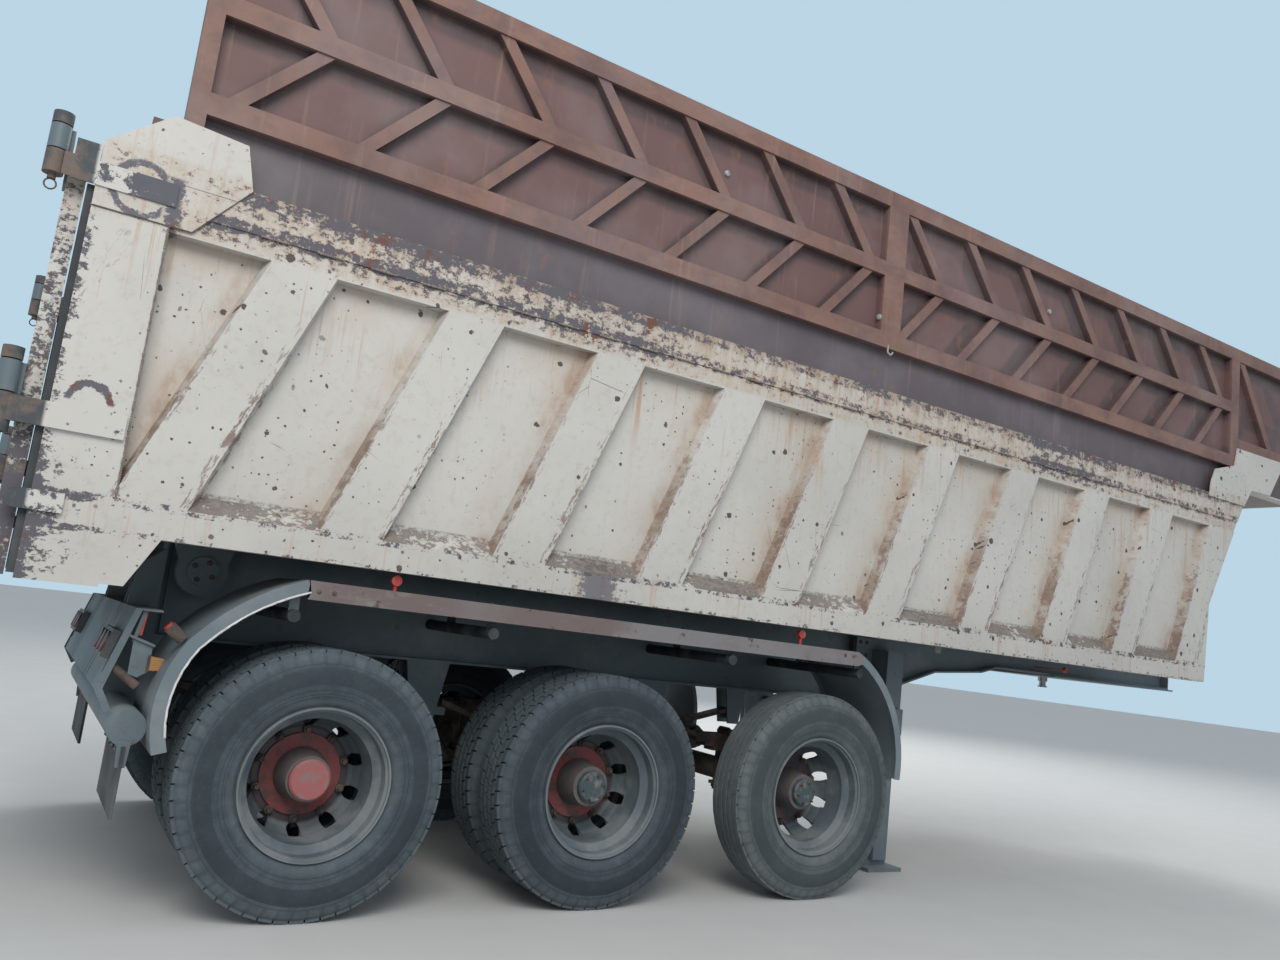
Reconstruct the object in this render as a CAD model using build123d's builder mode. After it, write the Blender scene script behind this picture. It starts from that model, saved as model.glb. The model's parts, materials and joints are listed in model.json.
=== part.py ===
from build123d import *
from math import atan2, degrees, hypot
import os

# Tri-axle tipping semi-trailer, standing on its landing legs. Millimetres.
# X forward, Y left, Z up, origin on the ground under the middle of the whole outline.
# Stations are measured forward from the rear axle, so AXLE_REAR places them all.

os.makedirs("parts", exist_ok=True)

# Driving dimensions
AXLE_REAR = -3066.0
AXLE_PITCH = 1310.0
HALF_WIDTH = 1250.0
TYRE_R = 525.0
TWIN_PITCH = 328.0
RIM_FACE_Y = 1220.0
RIM_WIDTH = 242.0
SHEET = 6.0
RAIL_Y = 450.0
RAIL_TOP = 1480.0
FLOOR_Z = 1550.0
SILL_BOTTOM = 1386.0
SILL_TOP = 1504.0
RECESS_Y = 1185.0
WALL_TOP = 2526.0
RAIL_STEP = 2610.0
SIDE_TOP = 2771.0
RIB_PITCH = 746.0
RIB_WIDTH = 259.0
RIB_DRAFT = 20.0
RIB_LEAN = 0.389
EXT_TOP = 3955.0
EXT_FRONT = 7451.0
POST_FRONT = -888.0
POST_REAR = -1148.0
TILT_X, TILT_Z = -460.0, 1300.0
DOOR_IN, DOOR_OUT = -1178.0, -1238.0
DOOR_AXIS_X, DOOR_AXIS_Y = -1285.0, 1235.0
HOIST_FOOT = (6720.0, 1400.0)
HOIST_HEAD = (6573.0, 2750.0)
RUN_GAP = 0.3


def st(x):
    """Model X of a station forward of the rear axle."""
    return AXLE_REAR + x


def made(part, label):
    """Name a finished piece and write it out."""
    part.label = label
    export_step(part, f"parts/{label}.step")


def block(x0, x1, y0, y1, z0, z1, mode=Mode.ADD):
    """Box between two stations, two Y planes and two heights."""
    with Locations((st((x0 + x1) / 2), (y0 + y1) / 2, (z0 + z1) / 2)):
        Box(x1 - x0, y1 - y0, z1 - z0, mode=mode)


def side_plate(points, y0, y1, mode=Mode.ADD):
    """Plate cut to an outline of (station, height) points, from y0 to y1."""
    with BuildSketch(Plane.XZ.offset(-y0)) as outline:
        with BuildLine():
            Polyline(*[(st(x), z) for x, z in points], close=True)
        make_face()
    extrude(outline.sketch, amount=-(y1 - y0), mode=mode)


def cross_plate(points, x0, x1, mode=Mode.ADD):
    """Plate cut to an outline of (Y, height) points, from station x0 to x1."""
    with BuildSketch(Plane.YZ.offset(st(x0))) as outline:
        with BuildLine():
            Polyline(*points, close=True)
        make_face()
    extrude(outline.sketch, amount=x1 - x0, mode=mode)


def bar_across(x, z, radius, y0, y1, mode=Mode.ADD):
    """Round bar along Y."""
    with BuildSketch(Plane.XZ.offset(-y0)) as outline:
        with Locations((st(x), z)):
            Circle(radius)
    extrude(outline.sketch, amount=-(y1 - y0), mode=mode)


def bar_up(x, y, radius, z0, z1, mode=Mode.ADD):
    """Round bar along Z."""
    with BuildSketch(Plane.XY.offset(z0)) as outline:
        with Locations((st(x), y)):
            Circle(radius)
    extrude(outline.sketch, amount=z1 - z0, mode=mode)


def both_sides():
    """Repeat the left-hand work of the open part on the right-hand side."""
    mirror(about=Plane.XZ)


# Chassis rails: I-beams with a deep rear and a shallow gooseneck
WEB = 8.0
FLANGE = 12.0
FLANGE_HALF = 70.0
RAIL_REAR = -600.0
RAIL_FRONT = 6980.0
RAIL_DEEP = 1000.0
NECK_BOTTOM = 1310.0
rail_top_rear = -500.0
rail_belly = [
    (RAIL_REAR, RAIL_DEEP),
    (3450, RAIL_DEEP),
    (3900, 1120),
    (4230, 1230),
    (4700, 1267),
    (4855, NECK_BOTTOM),
    (RAIL_FRONT, NECK_BOTTOM),
]
rail_back = [(RAIL_FRONT, RAIL_TOP), (rail_top_rear, RAIL_TOP), (RAIL_REAR, 1420)]
# Cross-members between the rails: station, half width, bottom, top
cross_members = [
    (-380, 40, 1080, 1400),
    (655, 40, 1080, 1400),
    (1965, 40, 1080, 1400),
    (3275, 40, 1080, 1400),
    (4300, 40, 1290, 1440),
    (5300, 40, 1330, 1440),
    (6480, 40, 1330, 1440),
]
PIN_R = 45.0

with BuildPart() as frame:
    side_plate(rail_belly + rail_back, RAIL_Y - WEB / 2, RAIL_Y + WEB / 2)
    strip = rail_belly + [(x, z + FLANGE) for x, z in reversed(rail_belly)]
    side_plate(strip, RAIL_Y - FLANGE_HALF, RAIL_Y + FLANGE_HALF)
    block(rail_top_rear, RAIL_FRONT, RAIL_Y - FLANGE_HALF, RAIL_Y + FLANGE_HALF, RAIL_TOP - FLANGE, RAIL_TOP)
    block(RAIL_REAR, RAIL_REAR + WEB, RAIL_Y - FLANGE_HALF, RAIL_Y + FLANGE_HALF, RAIL_DEEP, 1420)
    block(RAIL_FRONT - WEB, RAIL_FRONT, RAIL_Y - FLANGE_HALF, RAIL_Y + FLANGE_HALF, NECK_BOTTOM, RAIL_TOP)
    both_sides()
    for x, half, low, high in cross_members:
        block(x - half, x + half, -RAIL_Y, RAIL_Y, low, high)
        width = RAIL_Y - WEB
        block(x - half + WEB, x + half, -width, width, low + WEB, high - WEB, mode=Mode.SUBTRACT)
    bar_across(TILT_X, TILT_Z, PIN_R + RUN_GAP, -RAIL_Y - 20, -RAIL_Y + 20, mode=Mode.SUBTRACT)
    bar_across(TILT_X, TILT_Z, PIN_R + RUN_GAP, RAIL_Y - 20, RAIL_Y + 20, mode=Mode.SUBTRACT)
made(frame.part, "chassis_frame")

# Upper coupler plate and kingpin under the neck
COUPLER_BOTTOM = 1298.0
KINGPIN_X = 6080.0
COLLAR_R, GROOVE_R, TIP_R = 36.5, 25.4, 35.7
COLLAR_LEN, GROOVE_LEN, TIP_LEN = 36.0, 35.0, 13.0
PIN_SEAT_R = 60.0
COLLAR_END = COUPLER_BOTTOM - COLLAR_LEN
GROOVE_END = COLLAR_END - GROOVE_LEN
# Kingpin from the top down: radius, bottom, top
kingpin_steps = [
    (PIN_SEAT_R + 40, NECK_BOTTOM, NECK_BOTTOM + 18),
    (PIN_SEAT_R, COUPLER_BOTTOM, NECK_BOTTOM),
    (COLLAR_R, COLLAR_END, COUPLER_BOTTOM),
    (GROOVE_R, GROOVE_END, COLLAR_END),
    (TIP_R, GROOVE_END - TIP_LEN, GROOVE_END),
]

with BuildPart() as coupler:
    block(5450, RAIL_FRONT, -560, 560, COUPLER_BOTTOM, NECK_BOTTOM)
    bar_up(KINGPIN_X, 0, PIN_SEAT_R + 0.5, COUPLER_BOTTOM - 1, NECK_BOTTOM + 1, mode=Mode.SUBTRACT)
made(coupler.part, "coupler_plate")

with BuildPart() as kingpin:
    for radius, low, high in kingpin_steps:
        bar_up(KINGPIN_X, 0, radius, low, high)
made(kingpin.part, "kingpin")

# Landing legs, wound down to the ground
LEG_X, LEG_Y = 3670.0, 620.0
LEG_HALF = 70.0
# Leg from the top down: half length, half width, bottom, top
leg_steps = [
    (LEG_HALF, LEG_HALF, 560, 1330),
    (LEG_HALF + 8, LEG_HALF + 8, 560, 590),
    (56, 56, 60, 560),
    (90, 20, 22, 60),
    (140, 110, 0, 22),
]

with BuildPart() as legs:
    for half_x, half_y, low, high in leg_steps:
        block(LEG_X - half_x, LEG_X + half_x, LEG_Y - half_y, LEG_Y + half_y, low, high)
    block(LEG_X - 60, LEG_X + 60, LEG_Y + LEG_HALF, LEG_Y + LEG_HALF + 34, 820, 980)
    block(3460, LEG_X + LEG_HALF, RAIL_Y + FLANGE_HALF, LEG_Y - LEG_HALF, 1090, 1400)
    bar_across(LEG_X, 900, 22, 0, LEG_Y - LEG_HALF)
    both_sides()
    bar_across(LEG_X, 900, 16, LEG_Y + LEG_HALF + 34, LEG_Y + 190)
    block(LEG_X - 14, LEG_X + 14, LEG_Y + 176, LEG_Y + 190, 620, 915)
made(legs.part, "landing_legs")

# Suspension: hangers under the rails, three leaf packs a side, equalisers between them
SPRING_HALF = 45.0
SPRING_SEAT_Z = 600.0
# Hangers: station, half length at the rail, half length at the spring
hangers = [(-545, 70, 45), (655, 110, 60), (1965, 110, 60), (3265, 90, 45)]
LEAF_GAP = 105.0
AXLE_TUBE_R = 64.0

with BuildPart() as hanger_set:
    for x, wide, narrow in hangers:
        outline = [(x - wide, RAIL_DEEP), (x + wide, RAIL_DEEP), (x + narrow, 720), (x - narrow, 720)]
        side_plate(outline, RAIL_Y + SPRING_HALF + 5, RAIL_Y + SPRING_HALF + 17)
        side_plate(outline, RAIL_Y - SPRING_HALF - 17, RAIL_Y - SPRING_HALF - 5)
        bar_across(x, 760, 22, RAIL_Y - SPRING_HALF - 17, RAIL_Y + SPRING_HALF + 17)
    for x, _, _ in hangers[1:3]:
        block(x - 125, x + 125, RAIL_Y - SPRING_HALF, RAIL_Y + SPRING_HALF, 748, 786)
    both_sides()
made(hanger_set.part, "spring_hangers")

with BuildPart() as springs:
    for axle in range(3):
        x = axle * AXLE_PITCH
        back = -520 if axle == 0 else x - 655 + LEAF_GAP
        front = 3240 if axle == 2 else x + 655 - LEAF_GAP
        seat = SPRING_SEAT_Z + 2
        half = 300
        outline = [
            (back, 800),
            (x - half, 715),
            (x + half, 715),
            (front, 800),
            (front, 825),
            (x + half, 740),
            (x - half, 740),
            (back, 825),
        ]
        side_plate(outline, RAIL_Y - SPRING_HALF, RAIL_Y + SPRING_HALF)
        for step, length in enumerate((290, 230, 170)):
            top = 715 - 24 * step
            block(x - length, x + length, RAIL_Y - SPRING_HALF, RAIL_Y + SPRING_HALF, top - 24, top)
        block(x - 75, x + 75, RAIL_Y - SPRING_HALF, RAIL_Y + SPRING_HALF, seat, 715 - 72)
        block(x - 75, x + 75, RAIL_Y - SPRING_HALF - 15, RAIL_Y + SPRING_HALF + 15, 740, 758)
    both_sides()
made(springs.part, "leaf_springs")

SPINDLE_R = 45.0
SPINDLE_END = 1060.0
DRUM_MOUTH_Y = 700.0

with BuildPart() as axles:
    for axle in range(3):
        x = axle * AXLE_PITCH
        bar_across(x, TYRE_R, AXLE_TUBE_R, 0, DRUM_MOUTH_Y + 20)
        bar_across(x, TYRE_R, SPINDLE_R, DRUM_MOUTH_Y, SPINDLE_END)
        bar_across(x, TYRE_R, 180, DRUM_MOUTH_Y + 4, DRUM_MOUTH_Y + 12)
        block(x - 60, x + 60, RAIL_Y - SPRING_HALF, RAIL_Y + SPRING_HALF, TYRE_R, SPRING_SEAT_Z + 2)
    both_sides()
made(axles.part, "axle_beams")

# Brake chambers with their rods, one ahead of each wheel end, on the axle tube
with BuildPart() as chambers:
    for axle in range(3):
        x = axle * AXLE_PITCH + 190
        bar_across(x, 640, 78, 210, 330)
        bar_across(x, 640, 60, 160, 210)
        block(x - 130, x - 80, 300, 318, 560, 660)
        block(x - 130, x, 318, 330, 560, 660)
    both_sides()
made(chambers.part, "brake_chambers")

# Fenders: one long steel guard a side, with a deep outer lip
FENDER_IN = 700.0
FENDER_SHEET = 4.0
FENDER_TOP = 1295.0
FENDER_LIP = 72.0
# Fender outline: station, height, and the way in towards the tyres along X and Z
GUARD = [
    (-588, 620, 1.0, 0.0),
    (-400, 1103, 0.70, -0.71),
    (-167, 1250, 0.32, -0.95),
    (-120, FENDER_TOP, 0.32, -1.0),
    (2790, FENDER_TOP, -0.26, -1.0),
    (2860, 1255, -0.40, -0.92),
    (3100, 1085, -0.72, -0.69),
    (3200, 626, -1.0, 0.0),
]


def guard_band(depth):
    """Band of the fender's side view, from its outline inwards by depth."""
    outer = [(st(x), z) for x, z, _, _ in GUARD]
    inner = [(st(x) + depth * dx, z + depth * dz) for x, z, dx, dz in GUARD]
    with BuildSketch(Plane.XZ) as face:
        with BuildLine():
            for edge in (outer, inner):
                ThreePointArc(*edge[0:3])
                Polyline(*edge[2:6])
                ThreePointArc(*edge[5:8])
            Line(outer[0], inner[0])
            Line(outer[7], inner[7])
        make_face()
    return face.sketch


def slab(face, y0, y1):
    """Side-view face pushed out between two Y planes."""
    extrude(Pos(0, y0, 0) * face, amount=-(y1 - y0))


with BuildPart() as fenders:
    slab(guard_band(FENDER_SHEET), FENDER_IN, HALF_WIDTH)
    slab(guard_band(FENDER_LIP), HALF_WIDTH - FENDER_SHEET, HALF_WIDTH)
    slab(guard_band(30), FENDER_IN, FENDER_IN + FENDER_SHEET)
    both_sides()
made(fenders.part, "fenders")

# Fender supports: round stays from the rails, under the fender tops
# Stays: station, height, top of the tabs
stay_table = [(-195, 1166, 1204), (655, 1180, 1290), (1965, 1180, 1290), (2840, 1180, 1222)]
STAY_R = 25.0

with BuildPart() as stays:
    for x, z, top in stay_table:
        bar_across(x, z, STAY_R, RAIL_Y + WEB / 2, HALF_WIDTH - 20)
        for y in (FENDER_IN + 20, HALF_WIDTH - 60):
            block(x - 20, x + 20, y, y + 8, z, top)
    both_sides()
made(stays.part, "fender_stays")

# Underrun tube, its slanted hangers, the lamp board and the mudflaps
TUBE_X, TUBE_Z, TUBE_R, TUBE_END = -700.0, 700.0, 66.0, 1150.0
HANGER_PLATE = 12.0
# Inner faces of the two hanger plates a side
hanger_faces = [RAIL_Y - HANGER_PLATE, RAIL_Y + 84]

with BuildPart() as underrun:
    bar_across(TUBE_X, TUBE_Z, TUBE_R, 0, TUBE_END)
    hanger = [
        (RAIL_REAR, 1380),
        (RAIL_REAR, RAIL_DEEP),
        (-610, 760),
        (-655, 690),
        (-745, 690),
        (-765, 780),
        (-700, 1300),
    ]
    for y in hanger_faces:
        side_plate(hanger, y, y + HANGER_PLATE)
    block(-612, RAIL_REAR, hanger_faces[0], hanger_faces[1] + HANGER_PLATE, RAIL_DEEP, 1300)
    bar_across(TUBE_X, TUBE_Z, TUBE_R - SHEET, 0, TUBE_END - SHEET, mode=Mode.SUBTRACT)
    both_sides()
made(underrun.part, "underrun_bar")

BOARD_TOP = (-722.0, 1130.0)
BOARD_LOW = (-812.0, 820.0)
BOARD_HALF = 1080.0
BOARD_SHEET = 8.0
SHELF_FRONT = -640.0
# End strip of the board down to the tube: station, height
END_STRIP = [(-712, 1130), (-736, 1130), (-826, 825), (-778, 742), (-756, 752), (-798, 828)]

with BuildPart() as board:
    slope = [BOARD_TOP, BOARD_LOW] + [(x - BOARD_SHEET, z) for x, z in (BOARD_LOW, BOARD_TOP)]
    side_plate(slope, 0, BOARD_HALF)
    block(BOARD_TOP[0] - 5, SHELF_FRONT, 0, BOARD_HALF, BOARD_TOP[1] - BOARD_SHEET, BOARD_TOP[1])
    side_plate(END_STRIP, BOARD_HALF, BOARD_HALF + 10)
    for y in hanger_faces:
        block(-830, -600, y - 2, y + HANGER_PLATE + 2, 700, 1200, mode=Mode.SUBTRACT)
        block(-830, -600, -y - HANGER_PLATE - 2, -y + 2, 700, 1200, mode=Mode.SUBTRACT)
    both_sides()
made(board.part, "lamp_board")

MUDFLAP = (620.0, 1170.0)

with BuildPart() as mudflaps:
    block(TUBE_X - 6, TUBE_X + 6, MUDFLAP[0], MUDFLAP[1], 380, TUBE_Z - TUBE_R)
    both_sides()
made(mudflaps.part, "mudflaps")

# Lamps: tail lamp boxes on the board, round side markers on stalks and one on the neck
LAMP_DEEP, LAMP_SIDE = 30.0, 110.0
LENS_R, LENS_DEEP = 42.0, 8.0
LAMP_Z = 985.0
tail_lamp_y = [700, 820, 940]
# Markers on the fenders: station, |Y|, height
markers = [(198, 1200, 1352), (2418, 1200, 1352)]
MARKER_R, STALK_R = 22.0, 8.0
NECK_MARKER = (5371, 700, 1357)

with BuildPart() as lamps:
    lean = degrees(atan2(BOARD_TOP[0] - BOARD_LOW[0], BOARD_TOP[1] - BOARD_LOW[1]))
    middle = (BOARD_TOP[0] + BOARD_LOW[0]) / 2 - 8
    for y in tail_lamp_y:
        with Locations(Location((st(middle) - LAMP_DEEP / 2, y, LAMP_Z), (0, lean, 0))):
            Box(LAMP_DEEP, LAMP_SIDE, LAMP_SIDE)
            with Locations((-(LAMP_DEEP + LENS_DEEP) / 2, 0, 0)):
                Cylinder(LENS_R, LENS_DEEP, rotation=(0, 90, 0))
    for x, y, z in markers:
        bar_up(x, y, STALK_R, FENDER_TOP, z)
        bar_across(x, z, MARKER_R, y - 12, y + 14)
    x, y, z = NECK_MARKER
    block(x - 8, x + 8, RAIL_Y + WEB / 2, y - 10, z - 3, z + 3)
    bar_across(x, z, 18, y - 10, y + 12)
    both_sides()
made(lamps.part, "tail_lamps")

# Pivots of the tipping body on the rails' rear ends
BOSS_IN, BOSS_OUT, BOSS_R = 560.0, 620.0, 105.0
PIN_END = 640.0

with BuildPart() as pivots:
    pad = [(-570, 1020), (-340, 1020), (-300, 1160), (-300, 1455), (-520, 1455), (-570, 1410)]
    side_plate(pad, RAIL_Y + WEB / 2, RAIL_Y + WEB / 2 + 20)
    bar_across(TILT_X, TILT_Z, 80, RAIL_Y + WEB / 2, BOSS_IN - 5)
    bar_across(TILT_X, TILT_Z, PIN_R, RAIL_Y - 15, PIN_END)
    bar_across(TILT_X, TILT_Z, 62, BOSS_OUT + 5, PIN_END)
    both_sides()
made(pivots.part, "tilt_pivots")

# Cradle of the tipping ram on the neck
FOOT_X, FOOT_Z = HOIST_FOOT
EYE_HALF = 80.0

with BuildPart() as cradle:
    block(FOOT_X - 110, FOOT_X + 110, -RAIL_Y + 80, RAIL_Y - 80, NECK_BOTTOM + 2, NECK_BOTTOM + 18)
    for side in (-1, 1):
        inner, outer = sorted((side * (EYE_HALF + 5), side * (EYE_HALF + 29)))
        foot = [(FOOT_X - 90, NECK_BOTTOM + 18), (FOOT_X + 90, NECK_BOTTOM + 18)]
        ear = foot + [(FOOT_X + 45, 1440), (FOOT_X - 45, 1440)]
        side_plate(ear, inner, outer)
    bar_across(FOOT_X, FOOT_Z, 30, -EYE_HALF - 40, EYE_HALF + 40)
made(cradle.part, "hoist_cradle")

# Tipping body: floor with its bearers and cross-members
FLOOR_SHEET = 8.0
WALL_IN = RECESS_Y - SHEET
FLOOR_EDGE = 1183.0
WELL_HALF = 250.0
FRONT_LOW = 6171.0
WELL_LOW = 6070.0
BEARER_BOTTOM = 1490.0
BEARER_HALF = 40.0
BEARER_FIRST = -780.0
POST_IN = 1130.0

with BuildPart() as floor:
    block(POST_REAR + 10, POST_FRONT, -POST_IN + 2, POST_IN - 2, FLOOR_Z, FLOOR_Z + FLOOR_SHEET)
    block(POST_FRONT, FRONT_LOW, -FLOOR_EDGE, FLOOR_EDGE, FLOOR_Z, FLOOR_Z + FLOOR_SHEET)
    block(WELL_LOW, FRONT_LOW + 10, -WELL_HALF, WELL_HALF, FLOOR_Z - 10, FLOOR_Z + 20, mode=Mode.SUBTRACT)
    for side in (-1, 1):
        bearer = sorted((side * (RAIL_Y - BEARER_HALF), side * (RAIL_Y + BEARER_HALF)))
        block(-900, WELL_LOW + 80, *bearer, BEARER_BOTTOM, FLOOR_Z)
    for i in range(10):
        x = BEARER_FIRST + i * RIB_PITCH
        block(x - BEARER_HALF, x + BEARER_HALF, -FLOOR_EDGE, FLOOR_EDGE, BEARER_BOTTOM, FLOOR_Z)
    block(TILT_X - 160, TILT_X + 160, -700, 700, BEARER_BOTTOM, FLOOR_Z)
    block(POST_REAR + 10, POST_REAR + 110, -POST_IN + 2, POST_IN - 2, 1400, FLOOR_Z)
made(floor.part, "floor")

# Bosses that swing on the chassis pivots
with BuildPart() as bosses:
    bar_across(TILT_X, TILT_Z, BOSS_R, BOSS_IN, BOSS_OUT)
    arm = [
        (TILT_X - 150, BEARER_BOTTOM),
        (TILT_X - 95, 1330),
        (TILT_X + 95, 1330),
        (TILT_X + 150, BEARER_BOTTOM),
    ]
    side_plate(arm, BOSS_IN, BOSS_OUT)
    bar_across(TILT_X, TILT_Z, PIN_R + RUN_GAP, BOSS_IN - 5, BOSS_OUT + 5, mode=Mode.SUBTRACT)
    both_sides()
made(bosses.part, "tilt_bosses")

# Ribbed side walls: one pressed sheet a side with its folded sill
SLOPE_LOW, SLOPE_MID, SLOPE_TOP = (6180.0, SILL_BOTTOM), (6220.0, 1950.0), (6720.0, 2875.0)


def front_x(z):
    """Station of the sides' front edge at a height."""
    (x0, z0), (x1, z1) = (SLOPE_LOW, SLOPE_MID) if z < SLOPE_MID[1] else (SLOPE_MID, SLOPE_TOP)
    return x0 + (x1 - x0) * (z - z0) / (z1 - z0)


def rib_edges(i, z):
    """Rear and front station of rib i on the outer face at a height."""
    rear = -895 + i * RIB_PITCH + RIB_LEAN * (z - 1532)
    return rear, rear + RIB_WIDTH


def rib_loft(corners_in, corners_out, y_in, y_out, mode):
    """Raised rib between its foot outline and its outer face."""
    faces = []
    for corners, y in ((corners_in, y_in), (corners_out, y_out)):
        with BuildSketch(Plane.XZ.offset(-y)) as outline:
            with BuildLine():
                Polyline(*[(st(x), z) for x, z in corners], close=True)
            make_face()
        faces.append(outline.sketch)
    loft(faces, mode=mode)


def rib_outline(i, grow, z0, z1):
    """Parallelogram of rib i, or the front post's outline, widened by grow."""
    low, high = rib_edges(i, z0), rib_edges(i, z1)
    if i < 9:
        return [(low[0] - grow, z0), (low[1] + grow, z0), (high[1] + grow, z1), (high[0] - grow, z1)]
    mid = SLOPE_MID[1]
    front = [(front_x(z) + min(grow, 0), z) for z in (z0, mid, z1)]
    return [(low[0] - grow, z0), *front, (high[0] - grow, z1)]


with BuildPart() as walls:
    ledge = HALF_WIDTH - RECESS_Y
    sheet = [
        (HALF_WIDTH, SILL_BOTTOM),
        (HALF_WIDTH, SILL_TOP),
        (RECESS_Y, SILL_TOP + ledge),
        (RECESS_Y, WALL_TOP),
        (WALL_IN, WALL_TOP),
        (WALL_IN, SILL_TOP + ledge - 2.5),
        (HALF_WIDTH - SHEET, SILL_TOP - 2.5),
        (HALF_WIDTH - SHEET, SILL_BOTTOM + SHEET),
        (HALF_WIDTH - 100, SILL_BOTTOM + SHEET),
        (HALF_WIDTH - 100, SILL_BOTTOM),
    ]
    cross_plate(sheet, POST_FRONT, 6700)
    for i in range(10):
        foot = rib_outline(i, RIB_DRAFT, SILL_TOP, WALL_TOP)
        crest = rib_outline(i, 0, SILL_TOP, WALL_TOP)
        rib_loft(foot, crest, RECESS_Y - 1, HALF_WIDTH, Mode.ADD)
    for i in range(10):
        low, high = SILL_TOP + 8, WALL_TOP - SHEET
        foot = rib_outline(i, RIB_DRAFT - 4, low, high)
        crest = rib_outline(i, -5, low, high)
        rib_loft(foot, crest, WALL_IN - 1, HALF_WIDTH - SHEET, Mode.SUBTRACT)
    block(POST_FRONT - 400, POST_FRONT, 1100, 1300, 1300, 2600, mode=Mode.SUBTRACT)
    beyond = [(6180, 1300), SLOPE_LOW, SLOPE_MID, (front_x(2600), 2600), (7200, 2600), (7200, 1300)]
    side_plate(beyond, 1100, 1300, mode=Mode.SUBTRACT)
    both_sides()
made(walls.part, "side_walls")

# Top rails: hollow boxes with a proud upper channel
RAIL_IN = WALL_IN
RAIL_WALL = 5.0

with BuildPart() as top_rails:
    lower_out = HALF_WIDTH - SHEET
    section = [
        (RAIL_IN, WALL_TOP),
        (lower_out, WALL_TOP),
        (lower_out, RAIL_STEP),
        (HALF_WIDTH, RAIL_STEP),
        (HALF_WIDTH, SIDE_TOP),
        (RAIL_IN, SIDE_TOP),
    ]
    cavity = [
        (RAIL_IN + RAIL_WALL, WALL_TOP + RAIL_WALL),
        (lower_out - RAIL_WALL, WALL_TOP + RAIL_WALL),
        (lower_out - RAIL_WALL, SIDE_TOP - RAIL_WALL),
        (RAIL_IN + RAIL_WALL, SIDE_TOP - RAIL_WALL),
    ]
    cross_plate(section, POST_FRONT, 6800)
    cross_plate(cavity, POST_FRONT + 5, 6500, mode=Mode.SUBTRACT)
    beyond = [(front_x(2500), 2500), (front_x(2800), 2800), (7000, 2800), (7000, 2500)]
    side_plate(beyond, 1100, 1300, mode=Mode.SUBTRACT)
    both_sides()
made(top_rails.part, "top_rails")

# Front wall with the ram's well in the middle
FRONT_HALF = 1178.0
CANOPY_Z = 2875.0
WELL = [(6080.0, BEARER_BOTTOM), (6080.0, 1600.0), (6350.0, 2500.0), (6350.0, CANOPY_Z)]
FRONT = [(front_x(BEARER_BOTTOM), BEARER_BOTTOM), SLOPE_MID, SLOPE_TOP]
FRONT_RIB_TOP = 2860.0
FRONT_RIB_DEEP = 45.0
FRONT_RIB_HALF = 30.0
front_rib_y = [440, 760, 1080]

with BuildPart() as front_wall:
    panel = FRONT + [(x - 8, z) for x, z in reversed(FRONT)]
    side_plate(panel, WELL_HALF - 8, FRONT_HALF)
    side_plate(WELL + [(x - 8, z) for x, z in reversed(WELL)], 0, WELL_HALF)
    side_plate(WELL + list(reversed(FRONT)), WELL_HALF - 8, WELL_HALF)
    crest = [(x, z) for x, z in FRONT[:2]] + [(front_x(FRONT_RIB_TOP), FRONT_RIB_TOP)]
    for y in front_rib_y:
        rib = crest + [(x + FRONT_RIB_DEEP, z) for x, z in reversed(crest)]
        side_plate(rib, y - FRONT_RIB_HALF, y + FRONT_RIB_HALF)
    both_sides()
made(front_wall.part, "front_wall")

# Rear corner posts with their corner plates and gussets
POST_FOOT = 1193.0
CORNER_SHEET = 8.0
CORNER = [(-1148, 2545), (-1148, 2790), (-936, 2967), (-667, 2945), (-624, 2771), (-810, 2545)]

with BuildPart() as posts:
    block(POST_REAR, POST_FRONT, POST_IN, HALF_WIDTH, POST_FOOT, SIDE_TOP)
    bore_x = (POST_REAR + SHEET, POST_FRONT - SHEET)
    bore_y = (POST_IN + SHEET, HALF_WIDTH - SHEET)
    block(*bore_x, *bore_y, POST_FOOT + SHEET, SIDE_TOP - SHEET, mode=Mode.SUBTRACT)
    side_plate(CORNER, HALF_WIDTH, HALF_WIDTH + CORNER_SHEET)
    gusset = [(POST_FRONT, 1205), (-810, 1205), (-714, SILL_BOTTOM), (POST_FRONT, SILL_BOTTOM)]
    side_plate(gusset, HALF_WIDTH - 10, HALF_WIDTH)
    both_sides()
made(posts.part, "rear_posts")

with BuildPart() as seals:
    block(POST_REAR - 25, POST_REAR, POST_IN + 20, HALF_WIDTH - 12, 1210, 2620)
    both_sides()
made(seals.part, "door_seals")

# Side extensions: sheet, hollow chords and posts, and forward-pointing chevron ribs
EXT_IN, EXT_OUT = 1186.0, 1246.0
CHORD_IN = 1174.0
EXT_REAR = -905.0
EXT_WALL = 4.0
CHEVRON_OUT = 1237.0
CHEVRON_PITCH = 513.0
CHEVRON_WIDTH = 74.0
UPPER_RUN, LOWER_RUN = 270.0, 300.0
MID_RAIL = (3440.0, 3525.0)
LOW_CHORD = (3020.0, 3110.0)
FRONT_CHORD = (3170.0, 3250.0)
TOP_CHORD = (3860.0, EXT_TOP)
FRONT_BOARD = EXT_FRONT - 40.0
# Chevrons: station of the rear-most point, number of points
chevrons = [(2640 - 6 * CHEVRON_PITCH, 7), (3235, 7)]
# Hollow bars: rear and front station, bottom, top
ext_bars = [
    (EXT_REAR, EXT_REAR + 70, SIDE_TOP, EXT_TOP),
    (2765, 2920, LOW_CHORD[0], EXT_TOP),
    (6450, 6560, LOW_CHORD[0], EXT_TOP),
    (EXT_FRONT - 70, EXT_FRONT, LOW_CHORD[0], EXT_TOP),
    (EXT_REAR, EXT_FRONT, *TOP_CHORD),
    (EXT_REAR, 6560, *MID_RAIL),
    (EXT_REAR, 6500, *LOW_CHORD),
    (6500, EXT_FRONT, *FRONT_CHORD),
]
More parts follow.
